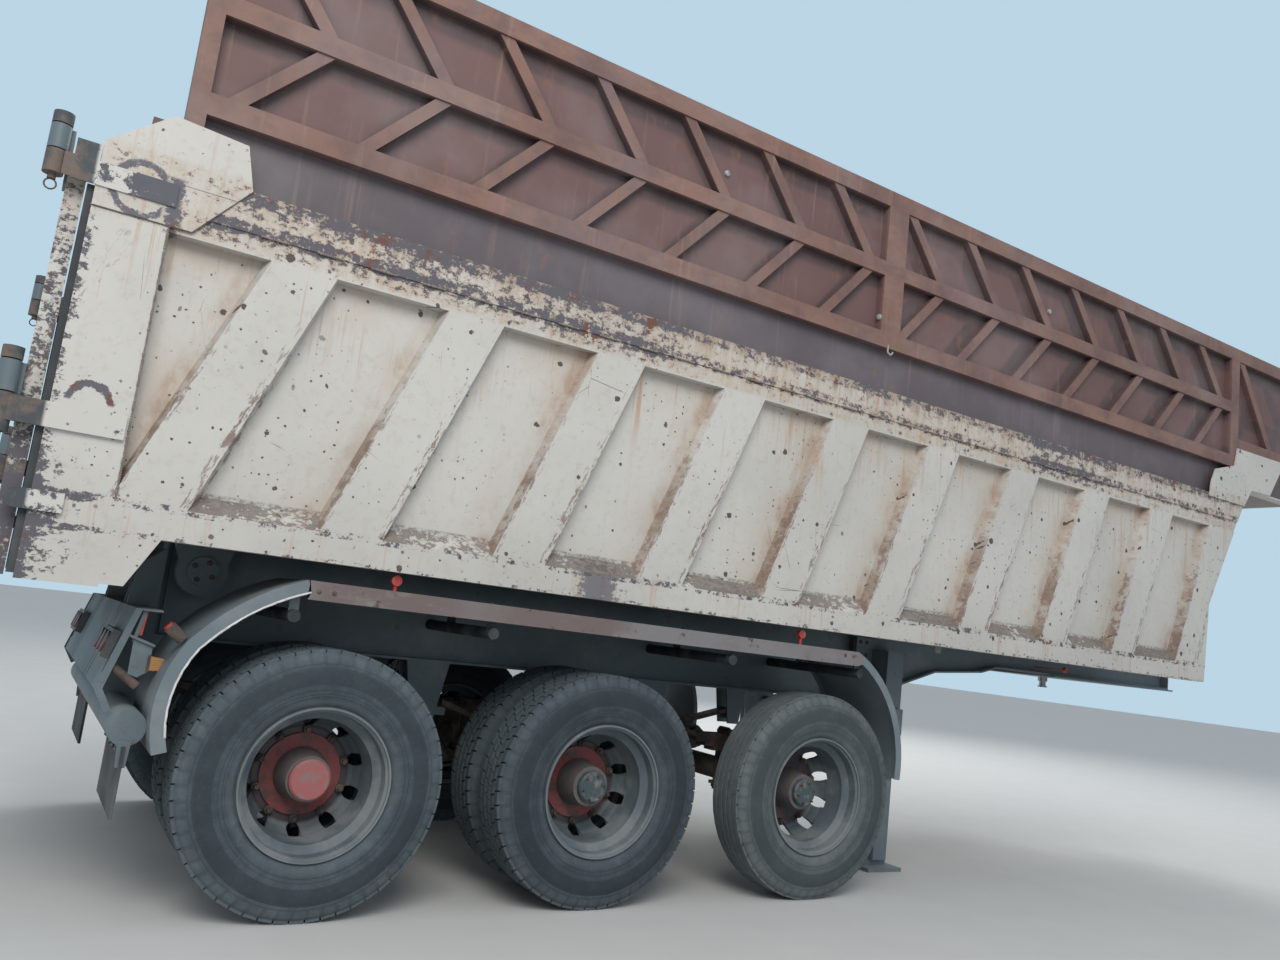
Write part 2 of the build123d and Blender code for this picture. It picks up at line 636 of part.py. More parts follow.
# Bars of the front board: half width, bottom, top
board_bars = [
    (EXT_IN, CANOPY_Z + 10, CANOPY_Z + 90),
    (EXT_IN, *MID_RAIL),
    (EXT_IN, *TOP_CHORD),
]
board_posts = [-790, -395, 0, 395, 790]


def chevron_rib(x0, z0, x1, z1):
    """Slanting rib between two rails, from its foot (x0, z0) to its head (x1, z1)."""
    half = CHEVRON_WIDTH / 2
    outline = [(x0 - half, z0), (x0 + half, z0), (x1 + half, z1), (x1 - half, z1)]
    side_plate([(max(x, EXT_REAR), z) for x, z in outline], EXT_IN + SHEET, CHEVRON_OUT)


with BuildPart() as extension:
    sheet = [
        (EXT_REAR, SIDE_TOP),
        (front_x(SIDE_TOP) - 24, SIDE_TOP),
        (SLOPE_TOP[0] - 26, CANOPY_Z + 10),
        (EXT_FRONT, CANOPY_Z + 10),
        (EXT_FRONT, EXT_TOP),
        (EXT_REAR, EXT_TOP),
    ]
    side_plate(sheet, EXT_IN, EXT_IN + SHEET)
    for x0, x1, low, high in ext_bars:
        block(x0, x1, EXT_IN, EXT_OUT, low, high)
    block(EXT_REAR, EXT_FRONT, CHORD_IN, EXT_IN, *TOP_CHORD)
    for x0, x1, low, high in ext_bars:
        inside = (x0 + EXT_WALL, x1 - EXT_WALL, EXT_IN + SHEET, EXT_OUT - EXT_WALL)
        block(*inside, low + EXT_WALL, high - EXT_WALL, mode=Mode.SUBTRACT)
    for first, count in chevrons:
        for n in range(count):
            tip = first + n * CHEVRON_PITCH
            chevron_rib(tip, MID_RAIL[1], tip - UPPER_RUN, TOP_CHORD[0])
            chevron_rib(tip, MID_RAIL[0], tip - LOWER_RUN, LOW_CHORD[1])
    chevron_rib(7040, FRONT_CHORD[1], 6610, TOP_CHORD[0])
    both_sides()
    block(FRONT_BOARD - SHEET, FRONT_BOARD, -EXT_IN, EXT_IN, CANOPY_Z + 10, EXT_TOP)
    for half, low, high in board_bars:
        block(FRONT_BOARD, EXT_FRONT, -half, half, low, high)
    for y in board_posts:
        block(FRONT_BOARD, EXT_FRONT - 8, y - 32, y + 32, CANOPY_Z + 90, TOP_CHORD[0])
made(extension.part, "extensions")

# Canopy over the front: floor plate and the cream side plates that carry it
CANOPY_SIDE = [
    (6650, 2743),
    (6167, 2743),
    (6190, 2860),
    (6240, 2957),
    (6500, 3030),
    (6536, 3170),
    (7170, 3180),
    (7170, 3100),
    (7020, 2886),
    (6750, 2880),
]

with BuildPart() as canopy:
    block(SLOPE_TOP[0] - 20, EXT_FRONT, -HALF_WIDTH, HALF_WIDTH, CANOPY_Z, CANOPY_Z + 10)
    for side in (-1, 1):
        side_plate(CANOPY_SIDE, *sorted((side * HALF_WIDTH, side * (HALF_WIDTH + 8))))
    block(SLOPE_TOP[0] - 380, SLOPE_TOP[0] - 20, -WELL_HALF, WELL_HALF, CANOPY_Z, CANOPY_Z + 10)
made(canopy.part, "canopy")

# Body-side door hinges: knuckles with their pins, straps on the posts and latch arms
KNUCKLE_R, PIN_RADIUS = 34.0, 14.0
STRAP_OUT = 1265.0
# Hinge heights: body knuckle bottom and top, door knuckle bottom and top
hinge_heights = [(1680, 1815, 1820, 1930), (2620, 2705, 2710, 2800)]
# Straps on the body: rear and front station, inner |Y|, bottom, top
body_straps = [
    (-1270, -900, HALF_WIDTH, 1720, 1810),
    (-1260, -1148, HALF_WIDTH + CORNER_SHEET, 2620, 2705),
    (-1148, -880, HALF_WIDTH + CORNER_SHEET, 2617, 2705),
    (-1230, -1150, HALF_WIDTH + CORNER_SHEET, 2617, 2767),
    (-1192, -1045, HALF_WIDTH, 1430, 1500),
]

with BuildPart() as knuckles:
    for low, high, door_low, door_high in hinge_heights:
        bar_up(DOOR_AXIS_X, DOOR_AXIS_Y, KNUCKLE_R, low, high)
        bar_up(DOOR_AXIS_X, DOOR_AXIS_Y, PIN_RADIUS, low - 20, door_high + 5)
        bar_up(DOOR_AXIS_X, DOOR_AXIS_Y, KNUCKLE_R, door_high + 5, door_high + 48)
    for x0, x1, inner, low, high in body_straps:
        block(x0, x1, inner, STRAP_OUT, low, high)
    bar_across(-1192, 1465, 35, HALF_WIDTH, STRAP_OUT)
    both_sides()
made(knuckles.part, "door_hinges")

# Ram head bracket on the well's wall
HEAD_X, HEAD_Z = HOIST_HEAD
HEAD_HALF = 40.0

with BuildPart() as yoke:
    for side in (-1, 1):
        cheek = [
            (WELL[2][0], 2690),
            (HEAD_X - 20, 2690),
            (HEAD_X + 60, 2715),
            (HEAD_X + 60, 2790),
            (HEAD_X - 20, 2865),
            (WELL[2][0], 2865),
        ]
        side_plate(cheek, *sorted((side * (HEAD_HALF + 5), side * (HEAD_HALF + 23))))
        bar_across(HEAD_X, HEAD_Z, 48, *sorted((side * (HEAD_HALF + 23), side * (HEAD_HALF + 35))))
made(yoke.part, "hoist_yoke")

# Rear doors: two leaves with pressed frames, straps and knuckles
DOOR_LOW, DOOR_HIGH = 1200.0, 2690.0
DOOR_MEET, DOOR_EDGE = 5.0, 1200.0
PANEL_IN, PANEL_OUT = 110.0, 1100.0
STRAP_PLATE = 10.0
# Recessed panels: bottom, top
door_panels = [(1300, 1640), (1700, 2040), (2100, 2600)]
door_ribs = [357, 605, 853]
DOOR_RIB_HALF = 28.0
# Straps on each leaf: inner |Y|, outer |Y|, bottom, top
leaf_straps = [(60, 1200, 1820, 1930), (1100, 1200, 2610, 2800)]


def span(side, y0, y1):
    """Y limits on one side of the middle."""
    return sorted((side * y0, side * y1))


for side, label in ((1, "left"), (-1, "right")):
    with BuildPart() as leaf:
        block(DOOR_OUT, DOOR_IN, *span(side, DOOR_MEET, DOOR_EDGE), DOOR_LOW, DOOR_HIGH)
        for low, high in door_panels:
            ends = span(side, PANEL_IN, PANEL_OUT)
            block(DOOR_OUT - 1, DOOR_IN - SHEET, *ends, low, high, mode=Mode.SUBTRACT)
        for y in door_ribs:
            ends = span(side, y - DOOR_RIB_HALF, y + DOOR_RIB_HALF)
            block(DOOR_OUT + 14, DOOR_IN - SHEET, *ends, door_panels[0][0], door_panels[-1][1])
    made(leaf.part, f"door_{label}")

    with BuildPart() as door_straps:
        for y0, y1, low, high in leaf_straps:
            block(DOOR_OUT - STRAP_PLATE, DOOR_OUT, *span(side, y0, y1), low, high)
        for _, _, low, high in hinge_heights:
            bar_up(DOOR_AXIS_X, side * DOOR_AXIS_Y, KNUCKLE_R, low, high)
            block(-1275, DOOR_OUT, *span(side, 1188, 1225), low, high)
            bore = PIN_RADIUS + RUN_GAP
            bar_up(DOOR_AXIS_X, side * DOOR_AXIS_Y, bore, low - 5, high + 5, mode=Mode.SUBTRACT)
    made(door_straps.part, f"door_straps_{label}")

# Tipping ram: barrel and five nested tubes along the line from foot to head
reach = hypot(HEAD_X - FOOT_X, HEAD_Z - FOOT_Z)
ram_line = (HEAD_X - FOOT_X, 0, HEAD_Z - FOOT_Z)
ram_plane = Plane(origin=(st(FOOT_X), 0, FOOT_Z), x_dir=(0, 1, 0), z_dir=ram_line)
STAGES = 5
STAGE_STEP_R = 12.5
BARREL_R = 100.0
BARREL_TOP = 1240.0
NECK_END = 95.0
TUBE_WALL = STAGE_STEP_R - 0.5


def tube(radius, bore, s0, s1):
    """Length of round tube on the ram's line, between two distances from its foot."""
    with BuildSketch(ram_plane.offset(s0)) as ring:
        Circle(radius)
        if bore:
            Circle(bore, mode=Mode.SUBTRACT)
    extrude(ring.sketch, amount=s1 - s0)


with BuildPart() as barrel:
    tube(75, 0, 20, NECK_END)
    tube(BARREL_R, 0, NECK_END, NECK_END + 18)
    tube(BARREL_R, BARREL_R - TUBE_WALL, NECK_END + 18, BARREL_TOP)
    bar_across(FOOT_X, FOOT_Z, 50, -EYE_HALF, EYE_HALF)
    bar_across(FOOT_X, FOOT_Z, 30 + RUN_GAP, -EYE_HALF - 5, EYE_HALF + 5, mode=Mode.SUBTRACT)
made(barrel.part, "ram_barrel")

for n in range(1, STAGES + 1):
    radius = BARREL_R - n * STAGE_STEP_R
    top = BARREL_TOP + n * 10
    with BuildPart() as stage:
        if n < STAGES:
            tube(radius, radius - TUBE_WALL, NECK_END + 25, top)
        else:
            tube(radius, 0, NECK_END + 25, reach - 30)
            bar_across(HEAD_X, HEAD_Z, 55, -HEAD_HALF, HEAD_HALF)
    made(stage.part, f"ram_stage_{n}")

# Wheels: outer and inner rims back to back on a hub with its drum
RIM_WALL = 8.0
MATE_Y = 935.0
# Rim section from its outer lip inwards: radius, distance in from the lip
rim_line = [
    (298.5, 0),
    (298.5, 12),
    (287, 16),
    (284, 60),
    (254, 84),
    (254, 128),
    (282, 196),
    (286, 228),
    (298.5, 232),
    (298.5, RIM_WIDTH),
]
# Disc: its dished face from the rim's well to the bolting face, then its back
disc_face = [(246, 105), (240, 150), (232, 205), (212, 250), (190, 273), (141, 273)]
disc_back = [(141, 285), (196, 285), (222, 261), (244, 208), (246, 128)]
DISH = 285.0
HAND_HOLES = 10
HAND_PITCH_R = 222.0
HAND_R = 28.0
# Hub from its cap inwards: radius, |Y|; the flange moves with the number of wheels it carries
CAP_Y = 1122.0
CAP_R, WIDE_CAP_R = 72.0, 82.0
DRUM_R, DRUM_WALL = 210.0, 18.0
TYRE_SIDES = 48
# Tyre: half width and radius, outside and inside
tyre_outside = [(139.5, 402), (104, TYRE_R)]
tyre_inside = [(139.5, 402), (106, 291)]


def turned(points, side):
    """Ring turned about the axle's line from (radius, |Y|) points."""
    with BuildSketch(Plane.YZ) as section:
        with BuildLine():
            Polyline(*[(side * y, r) for r, y in points], close=True)
        make_face()
    revolve(section.sketch, axis=Axis.Y)


def rim_and_disc(side, lip_y, inward):
    """Rim with its pierced disc; inward is 1 where the dish faces out and -1 where it faces in."""
    outer = [(r, lip_y - inward * d) for r, d in rim_line]
    inner = [(r - RIM_WALL, y) for r, y in outer]
    turned(outer + inner[::-1], side)
    turned([(r, lip_y - inward * d) for r, d in disc_face + disc_back], side)
    near, far = sorted((side * (lip_y - inward * 185), side * (lip_y - inward * 300)))
    with BuildSketch(Plane.XZ.offset(-near)) as holes:
        with PolarLocations(HAND_PITCH_R, HAND_HOLES, start_angle=18):
            Circle(HAND_R)
    extrude(holes.sketch, amount=-(far - near), mode=Mode.SUBTRACT)


def hub_line(flange_y, cap_r):
    """Half section of a hub whose flange bears at flange_y."""
    bore = SPINDLE_R + RUN_GAP
    return [
        (0, CAP_Y),
        (cap_r - 8, CAP_Y),
        (cap_r, CAP_Y - 8),
        (cap_r, 1092),
        (90, 1092),
        (110, 959),
        (165, 959),
        (165, MATE_Y + 12),
        (139, MATE_Y + 12),
        (139, flange_y),
        (185, flange_y),
        (185, flange_y - 16),
        (DRUM_R, flange_y - 16),
        (DRUM_R, 705),
        (DRUM_R - DRUM_WALL, 705),
        (DRUM_R - DRUM_WALL, flange_y - 34),
        (80, flange_y - 34),
        (72, 727),
        (bore, 727),
        (bore, SPINDLE_END + 5),
        (0, SPINDLE_END + 5),
    ]


def tyre_shell(side, centre):
    """One tyre with its middle plane at centre."""
    for outline, mode in ((tyre_outside, Mode.ADD), (tyre_inside, Mode.SUBTRACT)):
        stations = outline + [(-half, r) for half, r in reversed(outline)]
        rings = []
        for half, r in sorted(stations):
            with BuildSketch(Plane.XZ.offset(-(side * centre + half))) as ring:
                RegularPolygon(r, TYRE_SIDES, major_radius=False, rotation=180 / TYRE_SIDES)
            rings.append(ring.sketch)
        loft(rings, ruled=True, mode=mode)


for axle, place in enumerate(("rear", "middle", "front")):
    twin = place != "front"
    for side, hand in ((1, "left"), (-1, "right")):
        at_axle = Pos(st(axle * AXLE_PITCH), 0, TYRE_R)
        with BuildPart() as outer_tyre:
            tyre_shell(side, RIM_FACE_Y - RIM_WIDTH / 2)
        pieces = [outer_tyre.part]
        if twin:
            with BuildPart() as inner_tyre:
                tyre_shell(side, RIM_FACE_Y - RIM_WIDTH / 2 - TWIN_PITCH)
            pieces.append(inner_tyre.part)
        made(Compound([at_axle * piece for piece in pieces]), f"tyres_{place}_{hand}")

        with BuildPart() as wheel:
            rim_and_disc(side, RIM_FACE_Y, 1)
            if twin:
                rim_and_disc(side, MATE_Y - DISH, -1)
        with BuildPart() as hub:
            flange_y = MATE_Y - 12 if twin else MATE_Y
            turned(hub_line(flange_y, WIDE_CAP_R if place == "rear" else CAP_R), side)
        made(Compound([at_axle * wheel.part, at_axle * hub.part]), f"wheels_{place}_{hand}")
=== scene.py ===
import json
from functools import reduce
from math import atan2, cos, hypot, radians, sin, tau

import bmesh
import bpy
from mathutils import Matrix, Vector


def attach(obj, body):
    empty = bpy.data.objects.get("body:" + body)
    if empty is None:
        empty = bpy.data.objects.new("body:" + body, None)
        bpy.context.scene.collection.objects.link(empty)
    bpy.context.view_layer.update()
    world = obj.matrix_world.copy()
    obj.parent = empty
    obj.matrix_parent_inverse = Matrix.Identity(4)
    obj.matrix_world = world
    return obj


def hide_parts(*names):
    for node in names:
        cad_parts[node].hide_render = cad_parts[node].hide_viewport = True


# Looks of the tri-axle tipping semi-trailer. Metres, in the CAD frame:
# X forward, Y left, Z up, origin on the ground under the middle of the outline.

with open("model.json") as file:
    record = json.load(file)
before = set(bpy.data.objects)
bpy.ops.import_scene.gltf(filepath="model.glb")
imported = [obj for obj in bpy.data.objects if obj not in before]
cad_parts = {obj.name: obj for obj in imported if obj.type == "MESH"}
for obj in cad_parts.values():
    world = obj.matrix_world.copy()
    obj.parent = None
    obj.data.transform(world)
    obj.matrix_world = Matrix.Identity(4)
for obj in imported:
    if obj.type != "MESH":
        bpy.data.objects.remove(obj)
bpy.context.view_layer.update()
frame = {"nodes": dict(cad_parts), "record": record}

# Driving dimensions, as in the CAD source
AXLE_REAR = -3.066
AXLE_PITCH = 1.310
AXLE_Z = 0.525
TYRE_R = 0.525
HALF_WIDTH = 1.250
RIM_FACE_Y = 1.220
RIM_WIDTH = 0.242
TWIN_PITCH = 0.328
MATE_FACE_Y = 0.947
SIDES = (("left", 1), ("right", -1))
AXLES = ("rear", "middle", "front")


def st(x):
    """Model X of a station forward of the rear axle."""
    return AXLE_REAR + x


class Nodes:
    """Short calls for the nodes of one tree."""

    def __init__(self, tree):
        self.tree = tree

    def node(self, kind, settings=None, **values):
        """New node with its settings, and with values or links on its inputs by name."""
        made = self.tree.nodes.new(kind)
        for key, value in (settings or {}).items():
            setattr(made, key, value)
        for key, value in values.items():
            self.feed(made.inputs[key.replace("_", " ")], value)
        return made

    def feed(self, socket, value):
        """Put a link, number or colour on a socket."""
        if isinstance(value, bpy.types.NodeSocket):
            self.tree.links.new(value, socket)
        elif isinstance(value, tuple) and socket.type == "RGBA":
            socket.default_value = (*value, 1.0)
        else:
            socket.default_value = value

    def maths(self, operation, a, b=0.0, clamp=False):
        """One sum on one or two numbers."""
        made = self.node("ShaderNodeMath", {"operation": operation, "use_clamp": clamp})
        self.feed(made.inputs[0], a)
        self.feed(made.inputs[1], b)
        return made.outputs[0]

    def times(self, a, b):
        return self.maths("MULTIPLY", a, b)

    def plus(self, a, b):
        return self.maths("ADD", a, b)

    def minus(self, a, b):
        return self.maths("SUBTRACT", a, b)


# Finishes
class Finish(Nodes):
    """A material and short calls for the nodes that make its surface."""

    def __init__(self, name, roughness=0.6, metallic=0.0, specular=0.4):
        self.material = bpy.data.materials.new(name)
        self.material.use_nodes = True
        super().__init__(self.material.node_tree)
        self.shader = self.tree.nodes["Principled BSDF"].inputs
        self.shader["Roughness"].default_value = roughness
        self.shader["Metallic"].default_value = metallic
        self.shader["Specular IOR Level"].default_value = specular
        coord = self.node("ShaderNodeTexCoord").outputs
        self.place = coord["Object"]
        self.x, self.y, self.z = self.node("ShaderNodeSeparateXYZ", Vector=self.place).outputs
        self.nx, self.ny, self.nz = self.node("ShaderNodeSeparateXYZ", Vector=coord["Normal"]).outputs
        self.away = self.maths("ABSOLUTE", self.y)
        # Flat pattern plane that lies true on the sides and is never edge-on to a square face
        across = self.plus(self.x, self.times(self.y, 0.9))
        up = self.plus(self.z, self.times(self.y, 0.45))
        self.flat = self.node("ShaderNodeCombineXYZ", X=across, Y=up).outputs[0]

    def grain(self, scale, detail=5.0, roughness=0.6, stretch=(1, 1, 1), shift=0.0, place=None):
        """Noise from 0 to 1, drawn out along an axis where its stretch is below 1."""
        offset = (shift, shift * 0.7, shift * 1.3)
        place = self.node("ShaderNodeMapping", Vector=place or self.place, Scale=stretch, Location=offset)
        values = {"Scale": scale, "Detail": detail, "Roughness": roughness}
        return self.node("ShaderNodeTexNoise", Vector=place.outputs[0], **values).outputs[0]

    def ranged(self, settings, *values):
        """Map range node from its value and four limits."""
        made = self.node("ShaderNodeMapRange", settings)
        for socket, amount in zip(made.inputs, values):
            self.feed(socket, amount)
        return made.outputs[0]

    def step(self, value, low, high):
        """Smooth rise from 0 at low to 1 at high."""
        return self.ranged({"interpolation_type": "SMOOTHSTEP"}, value, low, high, 0.0, 1.0)

    def level(self, mask, low, high):
        """Number going from low to high with a mask."""
        return self.ranged({}, mask, 0.0, 1.0, low, high)

    def band(self, value, low, high, soft):
        """1 between low and high, falling to 0 over soft on each side."""
        return self.times(self.step(value, low - soft, low), self.step(value, high + soft, high))

    def patches(self, low, high, *grain, **options):
        """Patches of noise: 0 where it is below low, 1 above high."""
        return self.step(self.grain(*grain, **options), low, high)

    def both(self, *masks):
        """Product of masks."""
        return reduce(self.times, masks)

    def either(self, *masks):
        """Largest of masks."""
        return reduce(lambda a, b: self.maths("MAXIMUM", a, b), masks)

    def sway(self, noise, amount):
        """Noise as a shift of up to half the amount either way."""
        return self.times(self.minus(noise, 0.5), amount)

    def blend(self, mask, under, over, share=None):
        """Colour under, covered by colour over where the mask is 1, or by a share of it."""
        made = self.node("ShaderNodeMix", {"data_type": "RGBA"})
        mask = mask if share is None else self.times(mask, share)
        for index, value in ((0, mask), (6, under), (7, over)):
            self.feed(made.inputs[index], value)
        return made.outputs[2]

    def coats(self, colour, *layers):
        """Colour under layers of mask, tone and, where a layer is thin, its share."""
        for mask, *layer in layers:
            colour = self.blend(mask, colour, *layer)
        return colour

    def spots(self, scale, share, size, shift=0.0):
        """Scattered ragged spots: how many cells hold one, and how large it is."""
        place = self.node("ShaderNodeMapping", Vector=self.flat, Location=(shift, shift, 0.0)).outputs[0]
        pattern = self.node("ShaderNodeTexVoronoi", {"voronoi_dimensions": "2D"}, Vector=place, Scale=scale)
        pick = self.node("ShaderNodeSeparateColor", Color=pattern.outputs["Color"])
        chosen = self.step(pick.outputs[0], 1 - share, 1 - share + 0.01)
        rough = self.times(self.grain(scale * 2.4, 6.0, 0.7), 0.46)
        limit = self.maths("MULTIPLY_ADD", pick.outputs[1], size)
        limit.node.inputs[2].default_value = 0.23
        inside = self.maths("LESS_THAN", self.plus(pattern.outputs["Distance"], rough), limit)
        return self.both(chosen, inside)

    def scratches(self, scale, width, share, stretch, shift=0.0):
        """Fine broken lines along the edges of a cell pattern."""
        place = self.node("ShaderNodeMapping", Vector=self.place, Scale=stretch, Location=(shift,) * 3)
        kind = {"feature": "DISTANCE_TO_EDGE"}
        edges = self.node("ShaderNodeTexVoronoi", kind, Vector=place.outputs[0], Scale=scale)
        fine = self.maths("LESS_THAN", edges.outputs["Distance"], width)
        return self.both(fine, self.patches(1 - share, 1.04 - share, scale * 0.9, 3.0, shift=shift + 3))

    def distance(self, x, z):
        """Distance from a point in the side view."""
        across, above = (self.maths("POWER", self.minus(a, b), 2) for a, b in ((self.x, x), (self.z, z)))
        return self.maths("SQRT", self.plus(across, above))

    def finish(self, colour, roughness=None, height=None, depth=0.002, strength=0.6):
        """Send the colour, roughness and relief to the shader, and give the material back."""
        self.feed(self.shader["Base Color"], colour)
        if roughness is not None:
            self.feed(self.shader["Roughness"], roughness)
        if height is not None:
            relief = self.node("ShaderNodeBump", Height=height, Distance=depth, Strength=strength)
            self.feed(self.shader["Normal"], relief.outputs[0])
        return self.material


CREAM = (0.545, 0.53, 0.50)
CREAM_DULL = (0.475, 0.462, 0.432)
PRIMER = (0.112, 0.104, 0.122)
RUST_DARK = (0.145, 0.070, 0.052)
TAN_DUST = (0.33, 0.275, 0.225)
ROAD_DUST = (0.33, 0.31, 0.285)
LEDGE_GREY = (0.105, 0.090, 0.086)
BLUE_BLACK = (0.115, 0.150, 0.170)
LENS_DUST = (0.30, 0.22, 0.19)
# What the cream paint follows: the rail's foot and top, the ribs from the first one's foot,
# the |Y| that only the corner plate passes, and the station behind which the doors are
RAIL_LOW, RAIL_HIGH = 2.54, 2.79
RIB_FOOT, RIB_PITCH, RIB_LEAN = (-0.895, 1.532), 0.746, 0.389
OFF_PLATE = (1.2535, 1.2520)
DOOR_FACE = (-1.1805, -1.1825)
# Extension: first slanting rib on the middle rail, and the pitch and lean of the ribs
SLANT_FROM, SLANT_PITCH, SLANT_LEAN = (2.640, 3.4825), 0.513, 0.78


def cream_coat(f, outer, streaks):
    """Cream paint with soft stains and dust, before any of it is lost."""
    rail = f.band(f.z, 2.550, 2.790, 0.03)
    warm = f.both(rail, f.level(f.patches(0.34, 0.62, 2.6, 6.0, shift=4.0), 0.15, 1.0), outer)
    warm = f.both(warm, f.level(f.step(streaks, 0.36, 0.62), 0.35, 1.0))
    dust = f.both(f.step(f.z, 1.80, 1.36), f.grain(5.0, 4.0))
    return f.coats(
        CREAM,
        (f.patches(0.35, 0.72, 0.9, 4.0), CREAM_DULL),
        (f.patches(0.50, 0.70, 26.0, 5.0, 0.7), TAN_DUST, 0.22),
        (warm, (0.44, 0.335, 0.245), 0.72),
        (dust, ROAD_DUST, 0.42),
    )


def recess_shade_layers(f, cell, recess, outer):
    """Layers in each recess: painted shade under the rail and against the rear side of the next rib, a
    streaky brown line at the rib's corner, and streaky painted shade on that rear side itself, stronger low
    down.
    """
    cloudy = f.level(f.patches(0.36, 0.62, 3.1, 6.0, shift=1.0), 0.15, 1.0)
    # Painted shade in each recess, under the rail and against the next rib
    under_rail = f.both(f.step(f.z, 2.28, 2.52), recess, cloudy)
    against_rib = f.both(f.step(cell, 0.48, 0.74), recess, cloudy)
    streaky = f.patches(0.42, 0.60, 1.0, 7.0, 0.68, stretch=(9.0, 1.0, 5.0), shift=4.0)
    corner = f.both(f.band(cell, 0.690, 0.760, 0.045), f.step(f.away, 1.243, 1.236), outer)
    corner = f.both(corner, f.band(f.z, 1.52, 2.53, 0.01), streaky, f.level(cloudy, 0.2, 1.0))
    # Painted shade on the ribs' rear-facing sides
    behind = f.both(f.step(f.nx, -0.15, -0.40), f.step(f.maths("ABSOLUTE", f.ny), 0.9, 0.7), outer)
    behind_low = (behind, f.level(f.step(f.z, 2.40, 1.70), 0.16, 1.0), f.level(streaky, 0.45, 1.0))
    return (
        (f.either(under_rail, against_rib), (0.45, 0.345, 0.26), 0.52),
        (corner, (0.33, 0.205, 0.140), 0.52),
        (f.both(*behind_low), (0.235, 0.170, 0.130)),
    )


def flake_wear(f, coarse, outer):
    """How much paint has flaked, from 0 up: along the rail, its seam, the post and the sill's edges."""
    dense = f.either(f.band(f.x, st(-0.75), st(1.15), 0.55), f.band(f.x, st(4.25), st(4.85), 0.30))
    zones = (
        (f.both(f.band(f.z, 2.560, 2.760, 0.02), dense), 0.072),
        (f.band(f.z, 2.735, 2.790, 0.03), 0.095),
        (f.band(f.z, 2.600, 2.640, 0.02), 0.085),
        (f.band(f.z, RAIL_LOW, RAIL_HIGH, 0.01), 0.035),
        (f.both(f.step(f.x, st(-0.93), st(-1.10)), f.step(f.z, 1.95, 1.30)), 0.135),
        (f.both(f.step(f.x, st(-1.10), st(-1.14)), f.step(f.z, 2.62, 2.52)), 0.12),
        (f.band(f.z, 1.488, 1.512, 0.012), 0.115),
        (f.band(f.z, 1.380, 1.396, 0.010), 0.10),
    )
    wear = 0.0
    for mask, amount in zones:
        wear = f.plus(wear, f.times(mask, amount))
    off_plate = f.step(f.away, *OFF_PLATE)
    return f.both(wear, f.level(coarse, 0.30, 1.70), f.level(off_plate, 0.30, 1.0), outer)


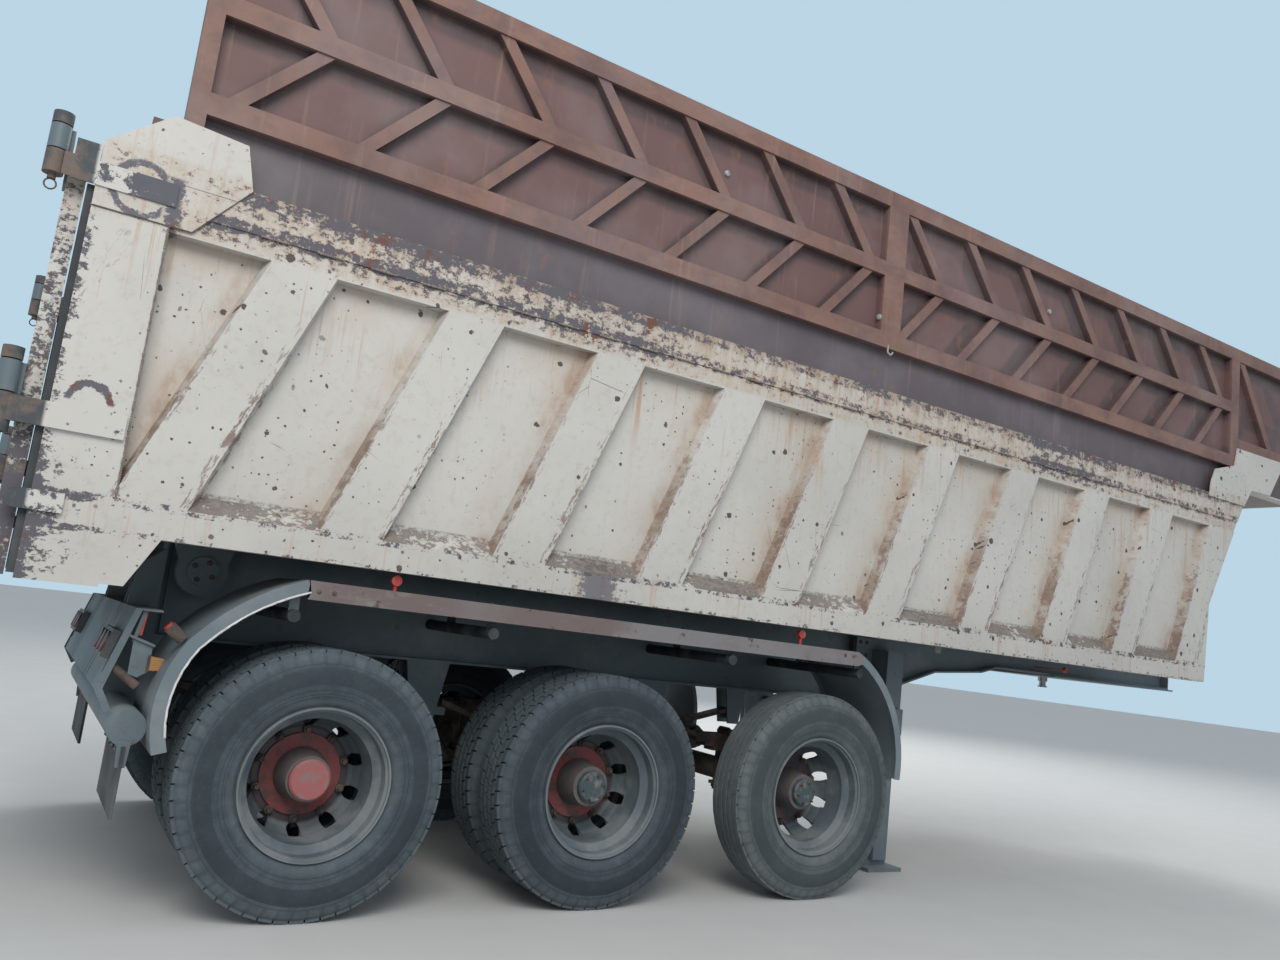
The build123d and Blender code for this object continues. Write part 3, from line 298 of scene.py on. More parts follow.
def cream_paint():
    """Old cream paint: grime and flakes along the top rail, rust runs, specks, scraped ribs and ledges."""
    f = Finish("weathered cream paint", roughness=0.55)
    # The sides' outer skin: far out and not facing the load space
    outward = f.times(f.ny, f.maths("SIGN", f.y))
    outer = f.both(f.step(f.away, 1.16, 1.18), f.step(outward, -0.55, -0.35))
    # Place across one rib's pitch, measured along the lean of the ribs
    foot_x, foot_z = RIB_FOOT
    slant = f.times(f.minus(f.z, foot_z), RIB_LEAN)
    along = f.minus(f.minus(f.x, st(foot_x)), slant)
    cell = f.maths("FLOORED_MODULO", along, RIB_PITCH)
    leaning = f.node("ShaderNodeCombineXYZ", X=along, Y=f.y, Z=f.z).outputs[0]
    wall = f.both(f.band(f.z, 1.515, 2.524, 0.004), outer)
    recess = f.both(f.step(f.away, 1.215, 1.195), wall)
    coarse = f.grain(2.3, 5.0, 0.6, shift=5.0)
    flakes = f.grain(38.0, 9.0, 0.78, stretch=(0.75, 1.0, 1.0))
    streaks = f.grain(1.0, 7.0, 0.68, stretch=(26.0, 4.0, 2.6), shift=2.0)

    # Grime that creeps down from the rail's top edge
    ragged = f.plus(f.z, f.sway(streaks, 0.30))
    off_plate = f.step(f.away, *OFF_PLATE)
    grime = f.both(f.step(ragged, 2.690, 2.772), f.step(f.z, 2.80, 2.775), outer, off_plate)
    grime_tone = f.blend(f.step(flakes, 0.44, 0.58), (0.33, 0.265, 0.215), (0.175, 0.140, 0.135))

    # Rust runs down from the rail and the sill's edge
    run = f.patches(0.555, 0.70, 1.0, 6.0, 0.62, stretch=(13.0, 4.0, 0.8))
    thin_run = f.patches(0.56, 0.68, 1.0, 5.0, 0.6, stretch=(46.0, 4.0, 1.4), shift=7.0)
    below_rail = f.either(f.band(f.z, 2.36, 2.75, 0.30), f.band(f.z, 1.39, 1.50, 0.05))
    runs = f.either(run, f.times(thin_run, 0.7))
    runs = f.both(runs, f.level(below_rail, 0.12, 1.0), f.step(coarse, 0.34, 0.56), outer)

    # Flakes, on the doors' outer side along its foot and its head, with the soil and stain round them
    lifting = f.plus(flakes, flake_wear(f, coarse, outer))
    rear = f.step(f.x, *(st(x) for x in DOOR_FACE))
    door_ends = f.either(f.band(f.z, 1.19, 1.30, 0.06), f.band(f.z, 2.61, 2.70, 0.04))
    door_lifting = f.plus(flakes, f.level(door_ends, 0.015, 0.085))
    flaked = f.either(f.step(lifting, 0.640, 0.660), f.both(rear, f.step(door_lifting, 0.640, 0.660)))
    soiled = f.both(rear, f.step(streaks, 0.44, 0.66), f.level(f.step(f.z, 2.4, 1.3), 0.25, 0.85))
    bleed = f.both(f.step(lifting, 0.545, 0.640), f.band(f.z, RAIL_LOW, RAIL_HIGH, 0.03), outer)
    paint = f.coats(
        cream_coat(f, outer, streaks),
        # Painted shade in the recesses and on the ribs' rear-facing sides
        *recess_shade_layers(f, cell, recess, outer),
        (grime, grime_tone, 0.82),
        (runs, (0.42, 0.235, 0.13), 0.70),
        (soiled, (0.39, 0.31, 0.24), 0.60),
        (bleed, (0.37, 0.255, 0.185), 0.55),
    )

    # Specks in clusters, a few larger chips, and long scratches
    cluster = f.patches(0.42, 0.58, 2.1, 4.0, shift=9.0)
    specks = f.either(f.spots(30.0, 0.22, 0.16), f.spots(15.0, 0.16, 0.15, 3.0))
    chips = f.either(
        f.both(specks, f.level(cluster, 0.0, 1.0)),
        f.spots(8.0, 0.055, 0.15),
        f.spots(13.0, 0.05, 0.20, 4.0),
    )
    lines = f.either(
        f.scratches(1.1, 0.0018, 0.40, (1.0, 1.0, 2.4)),
        f.scratches(1.7, 0.0016, 0.38, (2.2, 1.0, 0.8), shift=8.0),
    )
    marks = f.both(f.either(chips, lines), f.either(outer, rear))

    # Fine scuffs along both edges of each rib, heavier low down
    scrape = f.grain(1.0, 8.0, 0.72, stretch=(60.0, 1.0, 16.0), shift=6.0, place=leaning)
    rib_edges = ((0.235, 0.275, 0.030), (-0.01, 0.010, 0.02), (0.735, 0.75, 0.02))
    edge = f.either(*(f.band(cell, *limits) for limits in rib_edges))
    edge = f.both(edge, f.level(f.step(f.z, 2.45, 1.75), 0.45, 1.0), f.level(coarse, 0.4, 1.5), wall)
    scraped = f.both(f.step(f.plus(scrape, f.times(edge, 0.13)), 0.625, 0.66), edge)

    # Burnt rings where lifting eyes were cut off the post, and a long smear on the sill
    rings = []
    rough = f.sway(flakes, 0.06)
    for x, z, r in ((-1.000, 2.650, 0.098), (-1.030, 1.835, 0.066)):
        away_from = f.plus(f.distance(st(x), z), rough)
        rings.append(f.band(away_from, r - 0.010, r + 0.012, 0.003))
    rings[1] = f.both(rings[1], f.step(f.z, 1.828, 1.840))
    broken = f.level(f.step(flakes, 0.40, 0.46), 0.35, 1.0)
    rings[0] = f.both(rings[0], f.step(f.x, st(-0.915), st(-0.930)), broken)
    burnt = f.both(f.either(*rings), f.step(f.x, st(-0.86), st(-0.90)), outer)
    smear_r = f.plus(f.distance(st(1.13), 1.455), f.sway(flakes, 0.5))
    smear = f.both(f.step(smear_r, 0.12, 0.09), outer)

    # Ledges at the foot of each recess
    ledge = f.both(f.band(f.nz, 0.55, 0.85, 0.05), f.band(f.z, 1.505, 1.60, 0.01), outer)
    ledge = f.both(ledge, f.step(f.plus(flakes, f.times(coarse, 0.7)), 0.74, 0.80))
    foot = f.both(f.band(f.z, 1.556, 1.580, 0.010), recess, f.step(flakes, 0.44, 0.56))

    # Dark tail of bare metal down the front end of the upper hinge strap, and the plate's fine seam
    tail_edge = f.plus(f.x, f.sway(flakes, 0.16))
    tail = f.both(f.band(tail_edge, st(-0.905), st(-0.862), 0.006), f.band(f.z, 2.530, 2.720, 0.02), outer)
    on_plate = (f.step(f.away, 1.2535, 1.2545), f.step(f.x, st(-0.93), st(-0.92)))
    seam_line = f.both(f.band(f.z, 2.7105, 2.7135, 0.001), *on_plate)
    burnt = f.either(burnt, tail, f.times(seam_line, 0.7))

    # Inside the load space and under the floor: bare, scoured and dusty
    worn = f.blend(f.grain(2.0, 8.0, 0.7), (0.155, 0.135, 0.12), (0.30, 0.27, 0.235))
    inside = f.both(f.minus(1.0, outer), f.step(f.x, st(7.5), st(7.4)))
    bare = f.both(inside, f.minus(1.0, rear), f.patches(0.28, 0.44, 3.5, 8.0, 0.7))

    under = f.blend(f.patches(0.57, 0.66, 9.0, 5.0, shift=2.0), PRIMER, RUST_DARK)
    colour = f.coats(
        paint,
        (f.either(flaked, burnt, f.times(smear, 0.85)), under),
        (marks, (0.105, 0.078, 0.074)),
        (scraped, (0.19, 0.125, 0.105), 0.80),
        (f.either(ledge, foot), f.blend(f.step(flakes, 0.40, 0.60), LEDGE_GREY, (0.215, 0.175, 0.150)), 0.90),
        (bare, worn),
    )
    lost = f.either(flaked, marks, ledge)
    height = f.minus(f.times(f.grain(2.4, 3.0), 1.6), f.times(lost, 0.20))
    return f.finish(colour, f.level(lost, 0.50, 0.82), height, depth=0.006, strength=0.5)


def strap_paint():
    """Hinge straps: cream at the rear, flaked to blue-black towards the front and out at the knuckles."""
    f = Finish("flaked strap paint", roughness=0.65)
    dark = f.blend(f.patches(0.42, 0.62, 9.0, 7.0, 0.7), (0.060, 0.070, 0.080), (0.155, 0.115, 0.095))
    fine = f.grain(20.0, 9.0, 0.76)
    front = f.both(f.step(f.x, st(-1.10), st(-0.93)), f.step(f.z, 2.2, 2.3))
    low_down = f.step(f.z, 1.56, 1.50)
    patchy = fine
    for mask, amount in ((f.grain(3.0, 3.0, shift=2.0), 0.35), (front, 0.22), (low_down, 0.10)):
        patchy = f.plus(patchy, f.times(mask, amount))
    bare = f.blend(f.grain(7.0, 5.0), PRIMER, (0.085, 0.095, 0.110))
    cream = f.blend(f.step(patchy, 0.740, 0.775), CREAM, bare)
    on_post = f.both(f.step(f.x, st(-1.165), st(-1.150)), f.step(f.away, 1.246, 1.249))
    colour = f.blend(on_post, dark, cream)
    return f.finish(colour, f.level(fine, 0.5, 0.9), fine, depth=0.002, strength=0.4)


def maroon_paint():
    """Dull maroon over rust: warmer and rubbed on the raised bars, with painted shade against them."""
    f = Finish("dull maroon paint", roughness=0.72)
    raised = f.step(f.away, 1.225, 1.233)
    frame_bar = f.step(f.away, 1.240, 1.244)
    sheet = f.blend(f.grain(1.1, 6.0, 0.6), (0.118, 0.066, 0.064), (0.185, 0.105, 0.098))
    # Painted shade beside the slanting ribs, above and below the middle rail, and in bands under the bars
    from_x, from_z = SLANT_FROM
    lean = f.times(f.maths("ABSOLUTE", f.minus(f.z, from_z)), SLANT_LEAN)
    along = f.plus(f.minus(f.x, st(from_x)), lean)
    cell = f.maths("FLOORED_MODULO", along, SLANT_PITCH)
    beside = f.either(f.step(cell, 0.15, 0.045), f.step(cell, 0.44, 0.48))
    under_bar = f.either(f.band(f.z, 3.79, 3.86, 0.05), f.band(f.z, 3.39, 3.44, 0.04))
    patchy = f.level(f.grain(3.0, 5.0, shift=2.0), 0.2, 1.2)
    painted_shade = f.both(f.either(beside, under_bar), f.step(f.z, 3.02, 3.04), f.step(f.away, 1.188, 1.191), patchy)
    band = f.blend(f.grain(2.0, 5.0), (0.092, 0.076, 0.088), (0.136, 0.113, 0.124))
    bars = f.blend(f.patches(0.38, 0.64, 3.2, 7.0, 0.65), (0.212, 0.118, 0.094), (0.146, 0.085, 0.077))
    rubbed = f.both(frame_bar, f.patches(0.46, 0.64, 5.0, 7.0, 0.7, stretch=(0.4, 1, 1)))
    rust = f.patches(0.56, 0.68, 9.0, 9.0, 0.74, stretch=(1, 1, 0.5))
    runs = f.patches(0.56, 0.74, 1.0, 5.0, stretch=(26.0, 1.0, 0.9), shift=3.0)
    pale = f.patches(0.42, 0.66, 1.6, 4.0, shift=6.0)
    colour = f.coats(
        sheet,
        (painted_shade, (0.062, 0.048, 0.052), 0.90),
        (f.step(f.z, 3.021, 3.017), band),
        (raised, bars),
        (rubbed, (0.265, 0.155, 0.122), 0.50),
        (rust, (0.245, 0.135, 0.095), 0.45),
        (runs, (0.34, 0.22, 0.17), 0.30),
        (pale, (0.33, 0.31, 0.33), 0.16),
    )
    return f.finish(colour, f.level(rust, 0.62, 0.9), f.grain(9.0, 6.0), depth=0.003, strength=0.35)


def chassis_paint(name="blue-black chassis paint"):
    """Blue-black chassis paint under road dust, with rust on edges."""
    f = Finish(name, roughness=0.65)
    dusty = f.either(f.step(f.nz, 0.2, 0.9), f.patches(0.46, 0.75, 3.0, 7.0, 0.65))
    rust = f.patches(0.59, 0.67, 9.0, 8.0, 0.72, shift=3.0)
    colour = f.coats(BLUE_BLACK, (dusty, (0.255, 0.280, 0.290), 0.60), (rust, RUST_DARK, 0.7))
    return f.finish(colour, f.level(dusty, 0.5, 0.85), f.grain(14.0, 5.0), depth=0.002, strength=0.4)


def axle_paint():
    """Dark axle paint, caked with dust and rust."""
    f = Finish("caked axle paint", roughness=0.8)
    colour = f.blend(f.patches(0.4, 0.65, 6.0, 7.0), (0.065, 0.058, 0.055), (0.19, 0.165, 0.145))
    colour = f.blend(f.patches(0.55, 0.68, 11.0, 6.0, shift=2.0), colour, (0.17, 0.075, 0.05))
    return f.finish(colour, None, f.grain(22.0, 6.0), depth=0.003, strength=0.6)


def fender_paint():
    """Black steel fender whose deep lip has gone rust-brown along the flat."""
    f = Finish("black fender paint", roughness=0.6)
    lip = f.both(f.step(f.away, 1.244, 1.247), f.band(f.x, st(-0.16), st(2.84), 0.01))
    black = f.blend(f.patches(0.45, 0.7, 2.5, 6.0), (0.140, 0.172, 0.195), (0.215, 0.240, 0.252))
    maroon = f.blend(f.patches(0.40, 0.62, 1.3, 4.0), (0.155, 0.117, 0.114), (0.190, 0.182, 0.186))
    rubbed = f.patches(0.50, 0.62, 9.0, 9.0, 0.74, stretch=(0.35, 1, 1))
    rust = f.patches(0.60, 0.66, 14.0, 8.0, 0.7, shift=5.0)
    worn = f.coats(maroon, (rubbed, (0.20, 0.185, 0.18)), (rust, (0.09, 0.05, 0.045)))
    colour = f.coats(black, (lip, worn), (f.step(f.nz, 0.75, 0.98), (0.22, 0.21, 0.19), 0.55))
    return f.finish(colour, f.level(lip, 0.5, 0.75), f.grain(10.0, 6.0), depth=0.003, strength=0.4)


# Wheel from the flange in: radii, and the |Y| of the hub's flange, barrel and cap
FLANGE_R, DISC_R, HUB_RING_R, BARREL_R = (0.283, 0.292), (0.205, 0.190), (0.167, 0.165), (0.113, 0.111)
HUB_RING_Y, BARREL_Y, CAP_Y = (0.946, 0.9475), (0.960, 0.966), (1.0925, 1.0935)


def wheel_paint(name, centre_x, hub_colour, cap_colour, cap_r):
    """Dusty blue-grey rims with a dark bolting face, and a painted hub that runs out to its cap."""
    f = Finish(name, roughness=0.6)
    radius = f.distance(centre_x, AXLE_Z)
    grey = f.blend(f.grain(7.0, 8.0, 0.68), (0.055, 0.076, 0.090), (0.125, 0.150, 0.166))
    dust = f.step(f.plus(f.grain(4.0, 6.0, shift=3.0), f.level(f.z, 0.12, -0.10)), 0.46, 0.66)
    # The bolting face inside the disc's radius is coloured darker
    bolting_face_tone = f.blend(f.grain(14.0, 6.0), (0.040, 0.036, 0.042), (0.105, 0.078, 0.082))
    ring = f.both(f.step(radius, *HUB_RING_R), f.step(f.away, *HUB_RING_Y))
    grime = f.patches(0.44, 0.62, 16.0, 7.0, 0.7)
    barrel = f.both(f.step(radius, *BARREL_R), f.step(f.away, *BARREL_Y))
    cap = f.both(f.step(radius, cap_r + 0.0015, cap_r + 0.0005), f.step(f.away, *CAP_Y))
    scuffed = f.patches(0.45, 0.66, 22.0, 8.0, 0.72)
    colour = f.coats(
        grey,
        (dust, (0.235, 0.245, 0.245), 0.55),
        (f.step(radius, *FLANGE_R), (0.20, 0.215, 0.22), 0.4),
        (f.step(radius, *DISC_R), bolting_face_tone),
        (ring, f.blend(grime, hub_colour, (0.10, 0.06, 0.055))),
        (barrel, f.blend(f.grain(18.0, 7.0), (0.085, 0.078, 0.08), (0.19, 0.165, 0.16))),
        (cap, f.blend(scuffed, cap_colour, (0.21, 0.175, 0.165))),
    )
    return f.finish(colour, f.level(dust, 0.5, 0.8), f.grain(20.0, 6.0), depth=0.002, strength=0.4)


# Tyre: radii of its dusty shoulder, scuffed bead, dark ring, thin rings and shoulder grooves
SHOULDER_R, BEAD_EDGE_R, DARK_RING_R = (0.452, 0.500), (0.352, 0.322), (0.392, 0.446)
THIN_RINGS_R, GROOVES_R, GROOVE_COUNT = (0.350, 0.366, 0.452, 0.468), (0.474, 0.512), 54.0


def tyre_rubber(name, centre_x, tone, dust_tone):
    """Worn tyre rubber: dusty shoulder with painted shade in the grooves between its blocks, a dark ring mid
    wall with painted shade in thin moulded rings, a scuffed bead.
    """
    f = Finish(name, roughness=0.85, specular=0.25)
    radius = f.distance(centre_x, AXLE_Z)
    film = f.grain(9.0, 8.0, 0.72)
    streaky = f.grain(24.0, 7.0, 0.75, shift=3.0)
    shoulder = f.step(radius, *SHOULDER_R)
    bead = f.times(f.step(radius, *BEAD_EDGE_R), 0.75)
    dusty = f.level(f.either(shoulder, bead), 0.10, 0.48)
    dusty = f.plus(dusty, f.times(f.step(film, 0.40, 0.68), 0.30))
    dusty = f.maths("ADD", dusty, f.times(f.step(f.z, 0.34, 0.02), 0.20), clamp=True)
    dusty = f.both(dusty, f.level(streaky, 0.35, 1.45))
    # Dark ring mid wall, with painted shade in the thin moulded rings and in the grooves that run in over the
    # shoulder
    dark_ring = f.both(f.band(radius, *DARK_RING_R, 0.008), f.level(film, 0.5, 1.2))
    thin_rings = f.either(*(f.band(radius, r, r + 0.0018, 0.0006) for r in THIN_RINGS_R))
    angle = f.maths("ARCTAN2", f.minus(f.z, AXLE_Z), f.minus(f.x, centre_x))
    waves = f.maths("SINE", f.times(angle, GROOVE_COUNT))
    grooves = f.both(f.step(waves, 0.45, 0.75), f.band(radius, *GROOVES_R, 0.004))
    rubbed = f.patches(0.55, 0.75, 1.0, 4.0, stretch=(60, 60, 60))
    deep = tuple(0.55 * value for value in tone)
    colour = f.coats(
        tone,
        (dusty, dust_tone),
        (rubbed, dust_tone, 0.30),
        (f.either(dark_ring, thin_rings), deep, 0.55),
        (grooves, deep, 0.22),
    )
    rings = f.maths("SINE", f.times(radius, 900.0))
    relief = f.plus(f.grain(70.0, 4.0), f.times(rings, 0.05))
    relief = f.minus(relief, f.times(f.either(grooves, thin_rings), 0.35))
    return f.finish(colour, None, relief, depth=0.0020, strength=0.5)


def steel(name, tone, dark):
    """Ground steel with an oily film."""
    f = Finish(name, roughness=0.32, metallic=0.9)
    colour = f.blend(f.patches(0.4, 0.7, 8.0, 6.0), tone, dark)
    sheen = f.level(f.grain(12.0, 5.0), 0.22, 0.5)
    return f.finish(colour, sheen, f.grain(40.0, 3.0), depth=0.0005, strength=0.3)


def dull(name, tone, dust, roughness=0.85, scale=8.0):
    """Plain dull surface with dust on it."""
    f = Finish(name, roughness=roughness)
    colour = f.blend(f.patches(0.42, 0.72, scale, 6.0), tone, dust)
    return f.finish(colour, None, f.grain(scale * 4, 5.0), depth=0.0015, strength=0.4)


def lens_ribs(f, colour, gloss, dulled):
    """Finish with fine moulded ribs and a patchy gloss."""
    ribs = f.maths("SINE", f.times(f.z, 700.0))
    return f.finish(colour, f.level(f.grain(14.0, 4.0), gloss, dulled), ribs, depth=0.0008, strength=0.4)


def lens(name, tone):
    """Moulded lens with fine ribs, dulled by dust."""
    f = Finish(name, roughness=0.28, specular=0.6)
    colour = f.blend(f.patches(0.5, 0.8, 20.0, 5.0), tone, LENS_DUST)
    return lens_ribs(f, colour, 0.2, 0.6)


# Board lamps: |Y| of the first one's edge, pitch, height of the lenses and the lens's radius
LAMP_FROM, LAMP_PITCH, LAMP_Z, LAMP_R = 0.640, 0.120, 0.985, (0.0435, 0.0425)


def tail_lamp_finish():
    """Red markers on their stalks, and board lamps with dusty red lenses in dark housings."""
    f = Finish("lamp lenses and housings", roughness=0.4, specular=0.5)
    film = f.grain(20.0, 5.0)
    marker = f.blend(f.step(film, 0.5, 0.8), (0.42, 0.045, 0.035), LENS_DUST)
    dusty = f.blend(f.step(film, 0.35, 0.65), (0.165, 0.030, 0.028), (0.120, 0.105, 0.105))
    # Round lenses at one pitch across the board
    place = f.maths("FLOORED_MODULO", f.minus(f.away, LAMP_FROM), LAMP_PITCH)
    across, up = f.minus(place, LAMP_PITCH / 2), f.minus(f.z, LAMP_Z)
    squared = f.plus(f.times(across, across), f.times(up, up))
    glass = f.step(f.maths("SQRT", squared), *LAMP_R)
    board = f.blend(glass, f.blend(film, (0.060, 0.068, 0.075), (0.135, 0.140, 0.140)), dusty)
    colour = f.blend(f.step(f.z, 1.15, 1.20), board, marker)
    return lens_ribs(f, colour, 0.3, 0.7)


# Finishes by material slot, and the ones that only a few pieces have
finishes = {
    "body_paint": cream_paint(),
    "extension_paint": maroon_paint(),
    "chassis_paint": chassis_paint(),
    "axle_paint": axle_paint(),
    "fender_paint": fender_paint(),
    "ram_paint": chassis_paint("ram barrel paint"),
    "bare_steel": steel("ground steel", (0.50, 0.50, 0.49), (0.22, 0.20, 0.18)),
    "spring_steel": dull("spring steel", (0.065, 0.055, 0.052), (0.18, 0.125, 0.10), scale=12.0),
    "black_rubber": dull("sheet rubber", (0.045, 0.050, 0.055), (0.105, 0.110, 0.110), scale=3.0),
    "red_lens": lens("red lens", (0.42, 0.035, 0.025)),
    "amber_lens": lens("amber lens", (0.40, 0.20, 0.06)),
    "tail_lamps": tail_lamp_finish(),
    "stay_paint": dull("black stay paint", (0.022, 0.027, 0.031), (0.075, 0.085, 0.090)),
    "strap_paint": strap_paint(),
    "weld": dull("weld metal", (0.20, 0.175, 0.16), (0.32, 0.26, 0.21), 0.7, 30.0),
    "pale_steel": dull("pale galvanised steel", (0.33, 0.36, 0.35), (0.20, 0.20, 0.19), 0.5, 30.0),
    "white_trim": dull("scuffed white trim", (0.62, 0.63, 0.64), (0.40, 0.39, 0.37), 0.6, 20.0),
}
# Wheels: hub, cap and the cap's radius; tyres: rubber and dust
RED_HUB = (0.235, 0.060, 0.062)
TEAL_CAP = (0.050, 0.078, 0.088)
WHEEL_COLOURS = {
    "rear": (RED_HUB, (0.335, 0.105, 0.110), 0.082),
    "middle": (RED_HUB, TEAL_CAP, 0.072),
    "front": ((0.055, 0.055, 0.06), TEAL_CAP, 0.072),
}
RUBBER_TONES = {
    "rear": ((0.038, 0.052, 0.062), (0.125, 0.155, 0.172)),
    "middle": ((0.030, 0.042, 0.051), (0.100, 0.122, 0.136)),
    "front": ((0.054, 0.068, 0.076), (0.160, 0.180, 0.185)),
}
wheel_finishes, tyre_finishes = {}, {}
for index, place in enumerate(AXLES):
    centre = st(index * AXLE_PITCH)
    wheel_finishes[place] = wheel_paint(f"{place} wheel paint", centre, *WHEEL_COLOURS[place])
    tyre_finishes[place] = tyre_rubber(f"{place} tyre rubber", centre, *RUBBER_TONES[place])
BY_AXLE = {"wheels": wheel_finishes, "tyres": tyre_finishes}
# Nodes whose finish is not the one of their slot
OWN_FINISH = {"door_hinges": "strap_paint", "fender_stays": "stay_paint", "tail_lamps": "tail_lamps"}
# Bevel widths of the nodes with broken edges
BEVELS = {
    0.002: ("leaf_springs", "door_hinges", "tail_lamps"),
    0.003: ("landing_legs", "underrun_bar"),
    0.004: ("side_walls", "extensions", "rear_posts", "door_left", "door_right"),
    0.005: ("top_rails",),
}


def dress(node, material):
    """Give a CAD node its finish and, where it has broken edges, a small bevel."""
    piece = frame["nodes"][node]
    piece.data.materials.clear()
    piece.data.materials.append(material)
    for width, nodes in BEVELS.items():
        if node in nodes:
            edge = piece.modifiers.new("broken edges", "BEVEL")
            edge.width = width
            edge.segments = 2
            edge.limit_method = "ANGLE"
            edge.angle_limit = radians(40)
            edge.harden_normals = False


for row in frame["record"]["subparts"]:
    kind, _, rest = row["node"].partition("_")
    if kind in BY_AXLE:
        dress(row["node"], BY_AXLE[kind][rest.split("_")[0]])
    else:
        dress(row["node"], finishes[OWN_FINISH.get(row["node"], row["material_slot"])])


def keep(piece, body, slot_name, *nodes):
    """Hand a finished piece to its body, in place of any CAD nodes named. The slot name is not used."""
    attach(piece, body)
    if nodes:
        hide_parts(*nodes)


def placed(name, data):
    """New object at the origin of the scene."""
    made = bpy.data.objects.new(name, data)
    bpy.context.scene.collection.objects.link(made)
    return made


def discard(piece):
    """Remove an object with its mesh."""
    old = piece.data
    bpy.data.objects.remove(piece)
    bpy.data.meshes.remove(old)


def mesh_piece(name, points, faces, material, smooth_angle):
    """Object at the origin from points and faces."""
    mesh = bpy.data.meshes.new(name)
    mesh.from_pydata(points, [], faces)
    mesh.validate()
    mesh.shade_smooth()
    mesh.set_sharp_from_angle(angle=radians(smooth_angle))
    mesh.materials.append(material)
    return placed(name, mesh)


def faced(piece, merge=0.0, chamfer=0.0):
    """Merge a piece's doubles or break its edges where asked, and turn its faces outwards."""
    bm = bmesh.new()
    bm.from_mesh(piece.data)
    if merge:
        bmesh.ops.remove_doubles(bm, verts=bm.verts, dist=merge)
    if chamfer:
        bmesh.ops.bevel(bm, geom=list(bm.edges), offset=chamfer, segments=1, affect="EDGES")
    bmesh.ops.recalc_face_normals(bm, faces=bm.faces)
    bm.to_mesh(piece.data)
    bm.free()
    return piece


def join_as(name, pieces):
    """One object from several, each part keeping its own finish."""
    bm = bmesh.new()
    mesh = bpy.data.meshes.new(name)
    for piece in pieces:
        first = len(bm.faces)
        bm.from_mesh(piece.data)
        bm.faces.ensure_lookup_table()
        places = []
        for material in piece.data.materials:
            if material.name not in mesh.materials:
                mesh.materials.append(material)
            places.append(mesh.materials.find(material.name))
        for face in bm.faces[first:]:
            face.material_index = places[min(face.material_index, len(places) - 1)]
    bm.to_mesh(mesh)
    bm.free()
    for piece in pieces:
        discard(piece)
    return placed(name, mesh)


# Geometry Nodes trees
SOCKETS = {
    "geometry": "NodeSocketGeometry",
    "count": "NodeSocketInt",
    "size": "NodeSocketFloat",
    "object": "NodeSocketObject",
    "finish": "NodeSocketMaterial",
}


class Tree(Nodes):
    """A Geometry Nodes tree with named inputs that ends in real geometry with a finish."""

    def __init__(self, name, **inputs):
        super().__init__(bpy.data.node_groups.new(name, "GeometryNodeTree"))
        for label, kind in {"Source": "geometry", **inputs, "Finish": "finish"}.items():
            self.tree.interface.new_socket(label, in_out="INPUT", socket_type=SOCKETS[kind])
        self.tree.interface.new_socket("Result", in_out="OUTPUT", socket_type=SOCKETS["geometry"])
        self.given = self.tree.nodes.new("NodeGroupInput").outputs

    def finish(self, result):
        """Realise the result, give it its finish and close the tree."""
        real = self.node("GeometryNodeRealizeInstances", Geometry=result)
        coat = self.node("GeometryNodeSetMaterial", Geometry=real.outputs[0], Material=self.given["Finish"])
        self.feed(self.tree.nodes.new("NodeGroupOutput").inputs[0], coat.outputs[0])
        return self.tree


def ring_tree():
    """Copies of the source round a circle about Y, each turned to face out."""
    t = Tree("ring of pieces", Count="count", Radius="size", Across="size", Start="size")
    share = t.maths("DIVIDE", t.node("GeometryNodeInputIndex").outputs[0], t.given["Count"])
    angle = t.plus(t.times(share, tau), t.given["Start"])
    x, z = (t.times(t.maths(kind, angle), t.given["Radius"]) for kind in ("SINE", "COSINE"))
    spot = t.node("ShaderNodeCombineXYZ", X=x, Y=t.given["Across"], Z=z).outputs[0]
    turn = t.node("ShaderNodeCombineXYZ", Y=angle).outputs[0]
    points = t.node("GeometryNodePoints", Count=t.given["Count"], Position=spot).outputs[0]
    piece = {"Instance": t.given["Source"], "Rotation": turn}
    return t.finish(t.node("GeometryNodeInstanceOnPoints", Points=points, **piece).outputs[0])


def spots_tree():
    """Copies of a piece at the source's points, each turned to its point's facing."""
    t = Tree("pieces at spots", Piece="object")
    shape = t.node("GeometryNodeObjectInfo", Object=t.given["Piece"]).outputs["Geometry"]
    way = t.node("GeometryNodeInputNamedAttribute", {"data_type": "FLOAT_VECTOR"}, Name="facing").outputs[0]
    turn = t.node("FunctionNodeAlignRotationToVector", {"axis": "Y"}, Vector=way).outputs[0]
    piece = {"Instance": shape, "Rotation": turn}
    return t.finish(t.node("GeometryNodeInstanceOnPoints", Points=t.given["Source"], **piece).outputs[0])


def bar_tree():
    """Round bar along the source's path, with its corners bent to a radius."""
    t = Tree("bent bar", Radius="size", Bend="size")
    path = t.node("GeometryNodeMeshToCurve", Mesh=t.given["Source"]).outputs[0]
    bent = t.node("GeometryNodeFilletCurve", {"mode": "POLY"}, Curve=path, Count=5, Radius=t.given["Bend"])
    ring = t.node("GeometryNodeCurvePrimitiveCircle", Resolution=10, Radius=t.given["Radius"])
    ends = {"Profile_Curve": ring.outputs[0], "Fill_Caps": True}
    return t.finish(t.node("GeometryNodeCurveToMesh", Curve=bent.outputs[0], **ends).outputs[0])


